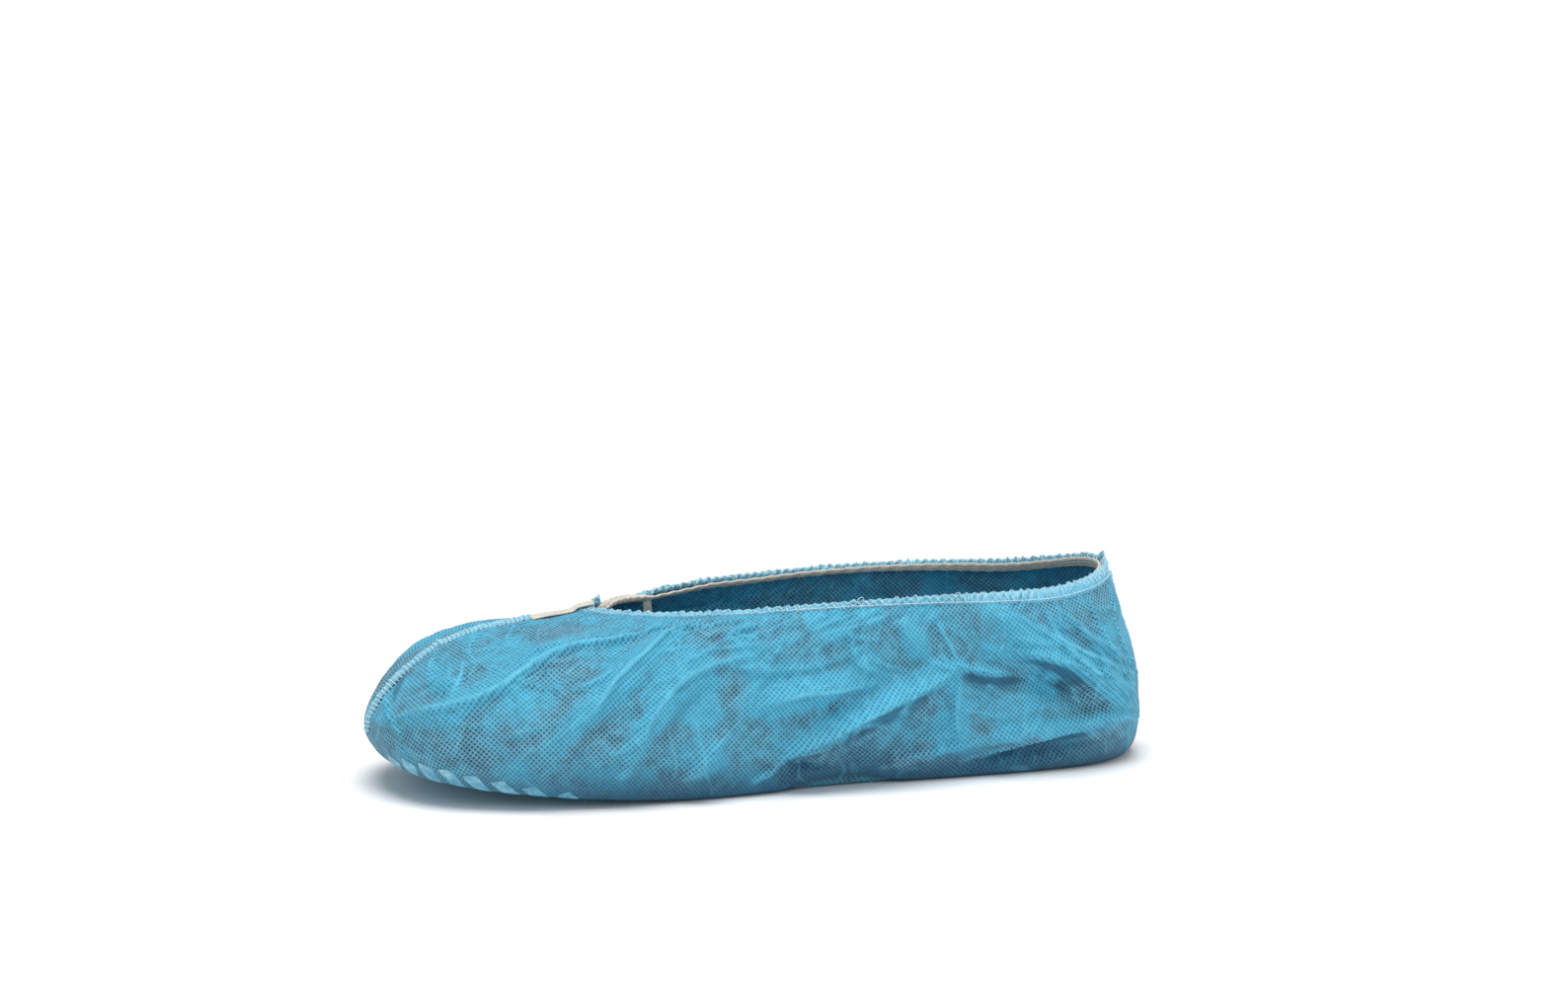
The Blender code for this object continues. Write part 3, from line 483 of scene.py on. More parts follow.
class Graph:  # a node tree, and short ways to add to it
    def __init__(self, tree):
        self.tree, self.nodes, self.link = tree, tree.nodes, tree.links.new

    def add(self, kind, **settings):
        node = self.nodes.new(kind)
        for key, value in settings.items():
            setattr(node, key, value)
        return node

    def fill(self, sockets, *values):  # a plain value is set, a socket is linked, and None is passed over
        for socket, value in zip(sockets, values):
            if isinstance(value, (int, float, tuple)):
                socket.default_value = value
            elif value is not None:
                self.link(value, socket)

    def fillNamed(self, node, **values):
        self.fill([node.inputs[key] for key in values], *values.values())
        return node

    def math(self, operation, *values, clamp=False):
        node = self.add("ShaderNodeMath", operation=operation, use_clamp=clamp)
        self.fill(node.inputs, *values)
        return node.outputs[0]

    def vector(self, operation, *values):
        node = self.add("ShaderNodeVectorMath", operation=operation)
        self.fill(node.inputs, *values)
        return node.outputs[0]

    def mix(self, share, a, b):
        node = self.add("ShaderNodeMix", data_type="RGBA")
        self.fill([node.inputs[k] for k in (0, 6, 7)], share, a, b)
        return node.outputs[2]

    def ramp(self, value, low, high, toLow=0.0, toHigh=1.0):
        node = self.add("ShaderNodeMapRange", interpolation_type="SMOOTHSTEP")
        self.fill(node.inputs, value, low, high, toLow, toHigh)
        return node.outputs[0]

    def noise(self, vector, scale, detail=2.0, rough=0.5, output="Fac"):
        node = self.add("ShaderNodeTexNoise")
        self.fillNamed(node, Vector=vector, Scale=scale, Detail=detail, Roughness=rough)
        return node.outputs[output]

    def bump(self, height, strength, distance, below=None):
        node = self.add("ShaderNodeBump")
        self.fillNamed(node, Height=height, Strength=strength, Distance=distance, Normal=below)
        return node.outputs[0]

    def group(self, tree, vector):
        return self.fillNamed(self.add("ShaderNodeGroup", node_tree=tree), Vector=vector).outputs

    def attribute(self, name):
        return self.add("ShaderNodeAttribute", attribute_name=name).outputs["Fac"]

    def place(self):
        return self.add("ShaderNodeTexCoord").outputs["Object"]

    def cutSheet(self):
        return self.add("ShaderNodeUVMap", uv_map="cut").outputs[0]


def material(name):
    made = bpy.data.materials.new(name)
    made.use_nodes = True
    return made, Graph(made.node_tree), made.node_tree.nodes["Principled BSDF"].inputs


def shaderGroup(name, inputs, outputs):
    tree = bpy.data.node_groups.new(name, "ShaderNodeTree")
    for label, value in (("Vector", None), *inputs):
        kind = "NodeSocketVector" if value is None else "NodeSocketFloat"
        socket = tree.interface.new_socket(label, in_out="INPUT", socket_type=kind)
        if value is not None:
            socket.default_value = value
    for label in outputs:
        tree.interface.new_socket(label, in_out="OUTPUT", socket_type="NodeSocketFloat")
    graph = Graph(tree)
    return graph, graph.add("NodeGroupInput").outputs, graph.add("NodeGroupOutput").inputs


def srgb(red, green, blue):
    return *(((v / 255 + 0.055) / 1.055) ** 2.4 if v > 10 else v / 255 / 12.92
             for v in (red, green, blue)), 1.0


# Bonded points of the spunbond web: a square lattice of small dents, turned 45 degrees on the cut sheet
bonds = dict(pitch=0.001414, turn=radians(45), wander=0.10)


def bondGroup():
    graph, given, out = shaderGroup(
        "bondedPoints", (("Pitch", bonds["pitch"]), ("Turn", bonds["turn"]), ("Wander", bonds["wander"])),
        ("Dents", "Fibres"))
    turned = graph.add("ShaderNodeVectorRotate", rotation_type="Z_AXIS")
    graph.fillNamed(turned, Vector=given["Vector"], Angle=given["Turn"])
    scaled = graph.vector("SCALE", turned.outputs[0], None, None, graph.math("DIVIDE", 1.0, given["Pitch"]))
    drift = graph.noise(scaled, 0.35, 1.0, output="Color")
    apart = graph.add("ShaderNodeSeparateXYZ")
    graph.link(graph.vector("MULTIPLY_ADD", drift, given["Wander"], scaled), apart.inputs[0])
    waves = [graph.math("COSINE", graph.math("MULTIPLY", apart.outputs[k], 2 * pi)) for k in range(2)]
    uneven = graph.math("MULTIPLY", graph.noise(scaled, 0.8, 2.0), 0.9)
    both = graph.math("ADD", graph.math("ADD", *waves), uneven)
    graph.link(graph.ramp(both, 0.28, 1.40), out["Dents"])
    graph.link(graph.ramp(graph.noise(scaled, 3.2, 3.0, 0.7), 0.36, 0.68), out["Fibres"])
    return graph.tree


# Greyer patches where the thin cloth lies tight, with broad and small unevenness
def patchGroup():
    graph, given, out = shaderGroup("tightPatches", (("Size", 52.0),), ("Tight", "Cloud"))
    graph.link(graph.ramp(graph.noise(given["Vector"], given["Size"], 4.0, 0.55), 0.36, 0.64), out["Tight"])
    graph.link(graph.ramp(graph.noise(given["Vector"], 210.0, 6.0, 0.72), 0.36, 0.66), out["Cloud"])
    return graph.tree


# Small facets of crumpled nonwoven: sharp lines between flat fields, and where some of the lines carry a
# painted highlight
def facetGroup():
    graph, given, out = shaderGroup("crumpledFacets", (("Size", 64.0),), ("Height", "Lines"))
    drift = graph.noise(given["Vector"], 24.0, 1.0, output="Color")
    pushed = graph.vector("MULTIPLY_ADD", drift, (0.020, 0.020, 0.020), given["Vector"])
    longer = graph.vector("MULTIPLY", pushed, (1.0, 1.0, 0.55))
    heights, edges = [], []
    for factor in (1.0, 2.3):
        cells = graph.add("ShaderNodeTexVoronoi", feature="DISTANCE_TO_EDGE")
        graph.fillNamed(cells, Vector=longer, Scale=graph.math("MULTIPLY", given["Size"], factor))
        edges.append(cells.outputs["Distance"])
        heights.append(graph.ramp(cells.outputs["Distance"], 0.0, 0.22, 1.0 / factor, 0.0))
    graph.link(graph.math("ADD", *heights), out["Height"])
    broken = graph.ramp(graph.noise(given["Vector"], 60.0, 2.0), 0.48, 0.60)
    graph.link(graph.math("MULTIPLY", graph.ramp(edges[0], 0.0, 0.05, 1.0, 0.0), broken), out["Lines"])
    return graph.tree


bondedPoints, tightPatches, crumpledFacets = bondGroup(), patchGroup(), facetGroup()

# Cloth by its looks: colours, with crest the colour of the painted highlight, how dark the dents are, how much
# is tight, and how strong the dents' bump is
coverLook = dict(slack=srgb(75, 191, 228), tight=srgb(88, 163, 192), dent=srgb(8, 58, 88),
                 crest=srgb(124, 218, 248), dentDepth=0.92, tightness=0.95, bump=0.9)
hemLook = dict(slack=srgb(118, 202, 232), tight=srgb(112, 190, 220), dent=srgb(52, 132, 168),
               crest=srgb(168, 226, 244), dentDepth=0.50, tightness=0.5, bump=0.7)
# shade is the colour of the painted shade in lees, hollows and low on the cloth
webLook = dict(shade=srgb(16, 76, 110), fibre=srgb(176, 214, 228), roughness=0.72)


def webMaterial(name, look):
    made, graph, shader = material(name)
    place = graph.place()
    dots = graph.group(bondedPoints, graph.cutSheet())
    patches, facets = graph.group(tightPatches, place), graph.group(crumpledFacets, place)
    # The crest value: on the cover cloth a painted highlight above zero and painted shade below zero; on the
    # hem a paler edge; on the seams a fixed paler tone
    paintedLight, slack = graph.attribute("crest"), graph.attribute("slack")
    tight = graph.math("MULTIPLY", patches["Tight"], look["tightness"])
    tight = graph.math("MULTIPLY", tight, graph.math("SUBTRACT", 1.0, slack, clamp=True))
    tight = graph.math("ADD", tight, graph.math("MULTIPLY", slack, -0.7, clamp=True), clamp=True)
    base = graph.mix(tight, look["slack"], look["tight"])
    speck = graph.math("MULTIPLY_ADD", tight, 0.28, 0.16)
    base = graph.mix(graph.math("MULTIPLY", speck, dots["Fibres"]), base, webLook["fibre"])
    cloudy = graph.math("MULTIPLY_ADD", tight, 0.22, 0.13)
    base = graph.mix(graph.math("MULTIPLY", patches["Cloud"], cloudy), base, look["dent"])
    # The painted highlight from the crest value above zero, and the painted shade from it below zero
    bright = graph.ramp(paintedLight, 0.22, 0.75)
    paintedShade = graph.ramp(graph.math("MULTIPLY", paintedLight, -1.0), 0.10, 0.75)
    unlit = graph.math("SUBTRACT", 1.0, graph.math("MULTIPLY", bright, 0.6), clamp=True)
    seen = graph.math("MULTIPLY_ADD", tight, look["dentDepth"] * 0.45, look["dentDepth"] * 0.55)
    depth = graph.math("MULTIPLY", graph.math("MULTIPLY", dots["Dents"], unlit), seen)
    base = graph.mix(depth, base, look["dent"])
    # Painted shade: mixed towards the shade colour
    base = graph.mix(graph.math("MULTIPLY", paintedShade, 0.78), base, webLook["shade"])
    # Painted highlight: crests and some facet lines mixed towards the crest colour
    lines = graph.math("MULTIPLY", facets["Lines"], 0.20)
    shine = graph.math("MAXIMUM", graph.math("MULTIPLY", bright, 0.60), lines)
    graph.link(graph.mix(shine, base, look["crest"]), shader["Base Color"])
    graph.link(graph.ramp(dots["Dents"], 0.0, 1.0, webLook["roughness"], 0.42), shader["Roughness"])
    shader["Sheen Weight"].default_value = 0.06
    shader["Specular IOR Level"].default_value = 0.35
    height = graph.math("SUBTRACT", graph.math("MULTIPLY", dots["Fibres"], 0.35), dots["Dents"])
    creased = graph.bump(facets["Height"], 0.6, 0.0010)
    graph.link(graph.bump(height, look["bump"], 0.00022, creased), shader["Normal"])
    return made


def threadMaterial():
    made, graph, shader = material("overlockThread")
    twist = graph.noise(graph.place(), 1900.0, 2.0)
    tone = graph.mix(graph.ramp(twist, 0.3, 0.7), srgb(178, 218, 232), srgb(236, 246, 248))
    graph.link(tone, shader["Base Color"])
    graph.link(graph.ramp(twist, 0.2, 0.8, 0.5, 0.8), shader["Roughness"])
    shader["Sheen Weight"].default_value = 0.3
    graph.link(graph.bump(twist, 0.5, 0.0001), shader["Normal"])
    return made


# Woven elastic: rubber ribs along it, covering yarns across
elasticLook = dict(rib=0.00125, pick=0.00078, cream=srgb(238, 231, 218), shade=srgb(188, 174, 154),
                   pale=srgb(248, 245, 239))


def elasticMaterial():
    made, graph, shader = material("wovenElastic")
    apart = graph.add("ShaderNodeSeparateXYZ")
    graph.link(graph.cutSheet(), apart.inputs[0])
    ribs, picks = (graph.math("COSINE", graph.math("MULTIPLY", apart.outputs[k], 2 * pi / elasticLook[key]))
                   for k, key in ((1, "rib"), (0, "pick")))
    crossing = graph.math("MULTIPLY", graph.math("MULTIPLY", picks, ribs), 0.5)
    weave = graph.math("ADD", graph.math("MULTIPLY", ribs, 0.7), crossing)
    fuzz = graph.noise(graph.place(), 900.0, 3.0, 0.65)
    # Painted shade in the grooves between the ribs, from the weave's pattern
    tone = graph.mix(graph.ramp(weave, -1.0, 0.4), elasticLook["shade"], elasticLook["cream"])
    tone = graph.mix(graph.ramp(fuzz, 0.45, 0.75), tone, elasticLook["pale"])
    graph.link(tone, shader["Base Color"])
    graph.link(graph.ramp(fuzz, 0.3, 0.7, 0.75, 0.95), shader["Roughness"])
    shader["Sheen Weight"].default_value = 0.25
    graph.link(graph.bump(graph.math("ADD", weave, fuzz), 0.8, 0.00025), shader["Normal"])
    return made


# The printed coating: a thin milky film through which the cloth's blue and its dents show
printLook = dict(film=srgb(130, 192, 216), thin=srgb(82, 158, 190), thick=srgb(192, 224, 238))


def printMaterial():
    made, graph, shader = material("antiSlipPrint")
    place = graph.place()
    dots = graph.group(bondedPoints, place)
    blotch = graph.noise(place, 260.0, 4.0, 0.6)
    tone = graph.mix(graph.ramp(blotch, 0.36, 0.60), printLook["thin"], printLook["film"])
    thick = graph.math("MULTIPLY", graph.ramp(blotch, 0.5, 0.72), dots["Fibres"])
    tone = graph.mix(thick, tone, printLook["thick"])
    tone = graph.mix(graph.math("MULTIPLY", dots["Dents"], 0.35), tone, printLook["thin"])
    graph.link(tone, shader["Base Color"])
    graph.link(graph.ramp(blotch, 0.3, 0.7, 0.36, 0.6), shader["Roughness"])
    graph.link(graph.bump(graph.math("SUBTRACT", blotch, dots["Dents"]), 0.5, 0.0002), shader["Normal"])
    return made


clothBlue, hemBlue = webMaterial("spunbondWeb", coverLook), webMaterial("gatheredEdge", hemLook)
threadWhite, elasticCream, printWhite = threadMaterial(), elasticMaterial(), printMaterial()
print("materials made")

# The cloth
cover = dict(thickness=0.00045, columns=660, rows=94, rings=8, innerStep=3, sag=0.0006, wrinkle=0.00038,
             sagSize=0.022, wrinkleSize=0.0075, gather=0.00042, gatherPitch=0.0064, gatherReach=0.009,
             wall=0.085)


def evenTurns(count):  # turns that stand evenly along the belly, half of them on each side
    turns = []
    for first in (0.0, 0.5):
        fine = first + np.linspace(0, 0.5, 1500)
        run = lengthsAlong(guideLoop("belly", np.clip(fine, first + 1e-6, first + 0.5 - 1e-6)))
        turns.append(np.interp(np.linspace(0, run[-1], count // 2 + 1)[:-1], run, fine))
    return np.concatenate(turns)


def coverRows():
    turns = evenTurns(cover["columns"])
    shares = np.linspace(0, 1, cover["rows"])
    smooth = clothStrip(turns, lambda whole: shares * (whole - form["hemBand"] - form["joinGap"]))
    return turns, shares, smooth, outwards(smooth)


def soleRings(edge, shares):
    flat = np.stack([edge[:, 0], edge[:, 1], form["underside"] + toeLift(edge[:, 0])], axis=1)
    spineX = edge[:, 0] * form["spineShare"]
    spine = np.stack([spineX, toeTurn(spineX), form["underside"] + toeLift(spineX)], axis=1)
    rings = []
    for share in shares:
        ring = flat * share + spine * (1 - share)
        ring[:, 2] = form["underside"] + toeLift(ring[:, 0])
        rings.append(ring)
    return np.array(rings)


def arcsFromSide(line):  # metres round a closed line, from the middle of each half, the far half's a metre on
    half, arcs = len(line) // 2, []
    for first in (0, half):
        run = lengthsAlong(line[np.arange(first, first + half + 1) % len(line)])
        arcs.append(run[:-1] - run[half // 2])
    return np.concatenate([arcs[0], arcs[1] + 1])


def laidFlat(rows, rounds=30):  # the points of a curved strip laid flat, as true to their lengths as can be
    height, width = rows.shape[:2]
    index = np.arange(height * width).reshape(height, width)
    corners = [index[:-1, :-1].ravel(), index[:-1, 1:].ravel(), index[1:, 1:].ravel(), index[1:, :-1].ravel()]
    triangles = np.concatenate([np.stack([corners[k] for k in three], axis=1)
                                for three in ((0, 1, 2), (0, 2, 3), (0, 1, 3), (1, 2, 3))])
    a, b, c = (rows.reshape(-1, 3)[triangles[:, k]] for k in range(3))
    base = np.linalg.norm(b - a, axis=1)
    along = ((c - a) * (b - a)).sum(axis=1) / base
    shape = np.zeros((len(triangles), 3, 2))
    shape[:, 1, 0], shape[:, 2, 0] = base, along
    shape[:, 2, 1] = np.sqrt(np.maximum(((c - a) ** 2).sum(axis=1) - along**2, 1e-12))
    edges, matrix = [], np.zeros((height * width,) * 2)
    for k in range(3):
        m, other = (k + 1) % 3, shape[:, (k + 2) % 3]
        u, v = shape[:, k] - other, shape[:, m] - other
        weight = (u * v).sum(axis=1) / np.abs(u[:, 0] * v[:, 1] - u[:, 1] * v[:, 0])
        weight = np.clip(weight, 0.02, 20)
        i, j = triangles[:, k], triangles[:, m]
        for x, y, sign in ((i, i, 1), (j, j, 1), (i, j, -1), (j, i, -1)):
            np.add.at(matrix, (x, y), sign * weight)
        edges.append((i, j, weight, shape[:, m] - shape[:, k]))
    middle = index[0, width // 2]
    matrix[middle, middle] += 1.0
    solved = np.linalg.inv(matrix)
    run, rise = lengthsAlong(rows[height // 3]), lengthsAlong(rows[:, width // 2])
    flat = np.stack(np.meshgrid(run - run[width // 2], rise), axis=-1).reshape(-1, 2)
    for _ in range(rounds):
        cosine, sine = np.zeros(len(triangles)), np.zeros(len(triangles))
        for i, j, weight, edge in edges:
            now = flat[j] - flat[i]
            cosine += weight * (edge * now).sum(axis=1)
            sine += weight * (edge[:, 0] * now[:, 1] - edge[:, 1] * now[:, 0])
        size = np.hypot(cosine, sine)
        cosine, sine = cosine / size, sine / size
        pull = np.zeros_like(flat)
        for i, j, weight, edge in edges:
            turned = np.stack([cosine * edge[:, 0] - sine * edge[:, 1],
                               sine * edge[:, 0] + cosine * edge[:, 1]], axis=1)
            np.add.at(pull, j, weight[:, None] * turned)
            np.add.at(pull, i, -weight[:, None] * turned)
        flat = solved @ pull
    flat = flat.reshape(height, width, 2)
    way = unit(flat[height // 3, width // 2 + 3] - flat[height // 3, width // 2 - 3])
    return flat @ np.array([[way[0], -way[1]], [way[1], way[0]]])


def cutSheet(rows):  # places on the flat cut sheet of the near half's and the far half's points
    half, sheets = rows.shape[1] // 2, []
    for first in (0, half):
        side = rows[:, np.arange(first, first + half + 1) % rows.shape[1]]
        coarse = [np.unique(np.linspace(0, n - 1, count).astype(int))
                  for n, count in zip(side.shape, (20, 60))]
        flat = laidFlat(side[np.ix_(*coarse)])
        flat = np.stack([sampled(np.arange(side.shape[1]), coarse[1], line) for line in flat])
        sheets.append(np.stack([sampled(np.arange(side.shape[0]), coarse[0], line)
                                for line in flat.transpose(1, 0, 2)], axis=1))
    return sheets


def coverSurface():  # the outer side, folded and crumpled: rows of points, crests and slackness
    turns, shares, smooth, normals = coverRows()
    # paintedLight: the painted highlight on crests above zero, the painted shade of lees, hollows and the low
    # band below zero
    relief, paintedLight = foldRelief(smooth, normals, shares)
    flat = smooth.reshape(-1, 3)
    broadNoise = crumpled(flat, cover["sagSize"]).reshape(relief.shape)
    fineNoise = 1 - 2 * np.abs(crumpled(flat + 3.0, cover["wrinkleSize"]).reshape(relief.shape))
    fade = (np.clip(shares / 0.12, 0, 1) * np.clip((1 - shares) / 0.08, 0, 1))[:, None]
    relief += (cover["sag"] * broadNoise + cover["wrinkle"] * fineNoise) * fade
    # Gathers run down from the elastic and die out
    around = arcsFromSide(smooth[-1])
    phase = 2 * pi * around / cover["gatherPitch"] + 3.0 * crumpledAlong(around, 0.015, 2)
    size = np.clip(0.8 + 1.1 * crumpledAlong(around, 0.03, 2, aside=0.3), 0.1, 1.8)
    depth = (1 - shares)[:, None] * cover["wall"]
    gathers = cover["gather"] * (np.sin(phase) * size)[None, :] * np.exp(-depth / cover["gatherReach"])
    relief += gathers * np.clip(depth / 0.002, 0.35, 1)
    rows = smooth + normals * relief[..., None]
    rows[..., 2] += archLift(turns, shares)
    # Above zero the cloth stands off in a fold, below zero it lies drawn tight over the sole's edge
    slack = np.clip(relief / 0.0022, 0, 1) + 0.35 * np.clip(paintedLight, 0, 1) + 0.35 * np.exp(-depth / 0.010)
    slack = np.clip(slack, 0, 1) - 0.6 * np.clip(1 - shares / 0.35, 0, 1)[:, None]
    return turns, shares, smooth, rows, paintedLight, slack


turnsOfCover, sharesOfCover, smoothRows, foldedRows, paintedLightRows, slackRows = coverSurface()
print("cloth folded:", len(foldTable), "folds")


def makeCover():
    rings, count = cover["rings"], cover["columns"]
    half, ringShares = count // 2, np.linspace(0.06, 0.93, cover["rings"])
    everything = np.concatenate([soleRings(foldedRows[0], ringShares), foldedRows])
    smoothAll = np.concatenate([soleRings(smoothRows[0], ringShares), smoothRows])
    rowCount = len(everything)
    sheets = cutSheet(smoothRows)

    normals = outwards(everything)
    normals[:rings] = (0, 0, -1)
    inside = everything - normals * cover["thickness"]
    kept = sorted({*range(0, rowCount, cover["innerStep"]), rowCount - 1})
    points = np.concatenate([everything.reshape(-1, 3), inside[kept].reshape(-1, 3)])
    faces, uv = [], []

    def corner(row, column, nearHalf, onSole):
        if onSole:
            return smoothAll[row, column % count, :2]
        return sheets[0 if nearHalf else 1][row - rings, column if nearHalf else column - half]

    def skin(rowsUsed, base, inward):
        for start, (low, high) in enumerate(zip(rowsUsed, rowsUsed[1:])):
            below, above = base + start * count, base + (start + 1) * count
            for c in range(count):
                d = (c + 1) % count
                face = (below + c, below + d, above + d, above + c)
                places = [corner(row, column, c < half, low < rings)
                          for row, column in ((low, c), (low, c + 1), (high, c + 1), (high, c))]
                faces.append(face[::-1] if inward else face)
                uv.extend(places[::-1] if inward else places)
        middle = [(base + i, base + (count - i) % count, base + count - i - 1, base + i + 1)
                  for i in range(1, half - 1)]
        middle += [(base, base + count - 1, base + 1), (base + half - 1, base + half + 1, base + half)]
        for face in middle:
            faces.append(face[::-1] if inward else face)
            uv.extend(points[k][:2] for k in faces[-1])

    skin(range(rowCount), 0, False)
    skin(kept, rowCount * count, True)
    top, innerTop = (rowCount - 1) * count, (rowCount + len(kept) - 1) * count
    for c in range(count):
        d = (c + 1) % count
        faces.append((top + c, top + d, innerTop + d, innerTop + c))
        uv.extend([corner(rowCount - 1, column, c < half, False) for column in (c, c + 1)] * 2)
    # The crest value: none on the flat part under the sole, the cloth's painted highlight and painted shade
    # above it
    flatPart = np.zeros((rings, count))
    crest = np.concatenate([flatPart, paintedLightRows])
    slack = np.concatenate([flatPart + 0.3, slackRows])
    return points, faces, uv, *(np.concatenate([v.ravel(), v[kept].ravel()]) for v in (crest, slack))


points, faces, uv, crest, slack = makeCover()
# The form is centred as the CAD model is
shift = (coverLow + coverHigh) / 2 - (points.min(axis=0) + points.max(axis=0)) / 2
shift[2] = 0.0
print("form moved by", np.round(shift * 1000, 2), "mm")
coverCloth = facingOut(meshOf("coverCloth", points + shift, faces, uv, clothBlue))
setValues(coverCloth, crest=crest, slack=slack)
print("cloth made:", len(coverCloth.data.polygons), "faces")

# The gathered hem
hem = dict(columns=1500, pitch=0.0036, pucker=0.00042, frill=0.00028, thickness=0.0010, lap=0.0010, drift=3.4,
           uneven=1.3, cornerRise=0.0042, cornerTurn=0.535, cornerReach=0.012, tipRise=0.0020, tipReach=0.008,
           proud=0.00012)
hemWall = dict(height=(0.0, 0.2, 0.4, 0.6, 0.8, 0.95, 1.0), thickness=(0.5, 0.9, 1.0, 1.0, 0.95, 0.7, 0.35),
               pale=(0.0, 0.1, 0.2, 0.4, 0.7, 1.0, 1.0))


def hemPhase(turns):
    edge = guideLoop("hem", turns)
    *run, whole = lengthsAlong(np.concatenate([edge, edge[:1]]))
    run = np.array(run)
    circle = np.stack([np.cos(2 * pi * turns), np.sin(2 * pi * turns), 0 * turns], axis=1)
    drift = hem["drift"] * crumpled(circle * 4.0, 1.0, 3)
    cycles = round(whole / hem["pitch"])
    return 2 * pi * cycles * run / whole + drift, run, whole


def hemSurface(turns, heights):  # rows of points at heights (0 low, 1 the edge), puckered, with their normals
    phase, run, whole = hemPhase(turns)
    low, heights = form["hemBand"] + hem["lap"], np.asarray(heights)
    rows = clothStrip(turns, lambda whole: whole - (low - low * heights))
    normals = outwards(rows)
    rise = heights[:, None]
    amount = hem["pucker"] * (0.35 + 0.65 * rise)
    size = np.clip(1 + hem["uneven"] * crumpledAlong(run, 0.011, 3), 0.25, 2.0)[None, :]
    # A pucker leans over its neighbour, so its crest is narrower than its hollow
    pucker = np.sin(phase + 0.5 * np.sin(phase + 0.9)) + 0.35 * np.sin(2.37 * phase)
    rows = rows + normals * (amount * pucker[None, :] * size)[..., None]
    top = rise**2
    frill = np.sin(phase + 1.3) * 0.7 + 0.6 * np.sin(phase * 2.17)
    rows[..., 2] += hem["frill"] * top * frill[None, :] * size
    corner = hem["cornerRise"] * np.clip(1 - ((turns - hem["cornerTurn"]) / hem["cornerReach"]) ** 2, 0, 1)
    fromHeel = np.minimum(turns, 1 - turns)
    tip = hem["tipRise"] * np.clip(1 - (fromHeel / hem["tipReach"]) ** 2, 0, 1)
    rows[..., 2] += (corner + tip)[None, :] * top
    return rows, normals


def makeHem():
    rows, normals = hemSurface(np.arange(hem["columns"]) / hem["columns"], hemWall["height"])
    outer = rows + normals * hem["proud"]
    inner = rows - normals * (np.array(hemWall["thickness"])[:, None, None] * hem["thickness"])
    return np.concatenate([outer, inner[::-1]]).transpose(1, 0, 2) + shift


gatheredHem = sweep("gatheredHem", makeHem(), hemBlue, closed=True)
pale = np.tile([*hemWall["pale"], *hemWall["pale"][::-1]], hem["columns"])
setValues(gatheredHem, crest=0.15 + 0.55 * pale, slack=0.3 + 0.5 * pale)
print("hem made")

# The elastic
tape = dict(columns=620, width=0.0042, thickness=0.00115, inset=0.0021, below=0.0004, proud=0.0052,
            lift=0.0032, proudTurn=0.560, proudReach=0.060, rounder=1.3, ripple=0.00018, ripples=95,
            wander=0.00025)
bandShape = ((0, 0.5), (0.03, 0.12), (0.16, 0), (0.5, -0.05), (0.84, 0), (0.97, 0.12), (1, 0.5), (0.97, 0.88),
             (0.84, 1), (0.5, 1.05), (0.16, 1), (0.03, 0.88))  # shares of its width and of its thickness


def roundedBand(low, top, outLow, outTop, thickness):  # a flat section with round edges
    up, width = unit(top - low), np.linalg.norm(top - low)
    return [low + up * (share * width) - (outLow * (1 - share) + outTop * share) * (depth * thickness)
            for share, depth in bandShape]


def makeTape():
    turns = np.arange(tape["columns"]) / tape["columns"]
    ahead = np.clip(1 - ((turns - tape["proudTurn"]) / tape["proudReach"]) ** 2, 0, 1)
    edges = np.array([tape["below"] + tape["width"], tape["below"]])
    band = clothStrip(turns, lambda whole: whole - edges)
    normals = outwards(band)
    # Ahead of the opening it comes up over the hem's edge on its way to the tail
    band = band + (band[1] - band[0]) / tape["width"] * (tape["proud"] * np.minimum(ahead * 1.6, 1))[:, None]
    band[..., 2] += tape["lift"] * ahead**2
    wobble = tape["ripple"] * np.sin(2 * pi * turns * tape["ripples"])
    wobble += tape["wander"] * crumpled(band[0], 0.02, 2)
    sections = []
    for i in range(tape["columns"]):
        thickness = tape["thickness"] * (1 + tape["rounder"] * ahead[i])
        inset = normals[:, i] * (tape["inset"] + wobble[i] - 0.3 * (thickness - tape["thickness"]))
        sections.append(roundedBand(band[0, i] - inset[0], band[1, i] - inset[1], normals[0, i], normals[1, i],
                                    thickness))
    return np.array(sections) + shift


elasticTape = sweep("elasticTape", makeTape(), elasticCream, closed=True)


def lineBeside(turn, offset, shares):  # points and normals up the cloth beside a line, plus to the far side
    spread = 0.05 * np.linspace(-1, 1, 21)
    shares = np.asarray(shares)
    rows = clothStrip(turn + spread, lambda whole: shares * (whole - form["hemBand"] - form["joinGap"]))
    normals = outwards(rows, closed=False)
    relief, _ = foldRelief(rows, normals, shares)
    rows = rows + normals * relief[..., None]
    points, outs = [], []
    for row, out in zip(rows, normals):
        lengths = lengthsAlong(row)
        wanted = lengths[len(spread) // 2] + offset
        points.append(sampled(wanted, lengths, row))
        outs.append(sampled(wanted, lengths, out))
    return np.array(points), np.array(outs)


seam = dict(rise=0.0019, width=0.0010, lean=0.0011, offset=0.0060, foot=0.13, top=0.985, bow=0.6,
            wave=0.00025, lift=0.0002)
seamShape = ((-0.5, 0), (-0.46, 0.35), (-0.32, 0.75), (-0.12, 1), (0.12, 1), (0.32, 0.75), (0.46, 0.35),
             (0.5, 0))  # shares across and up


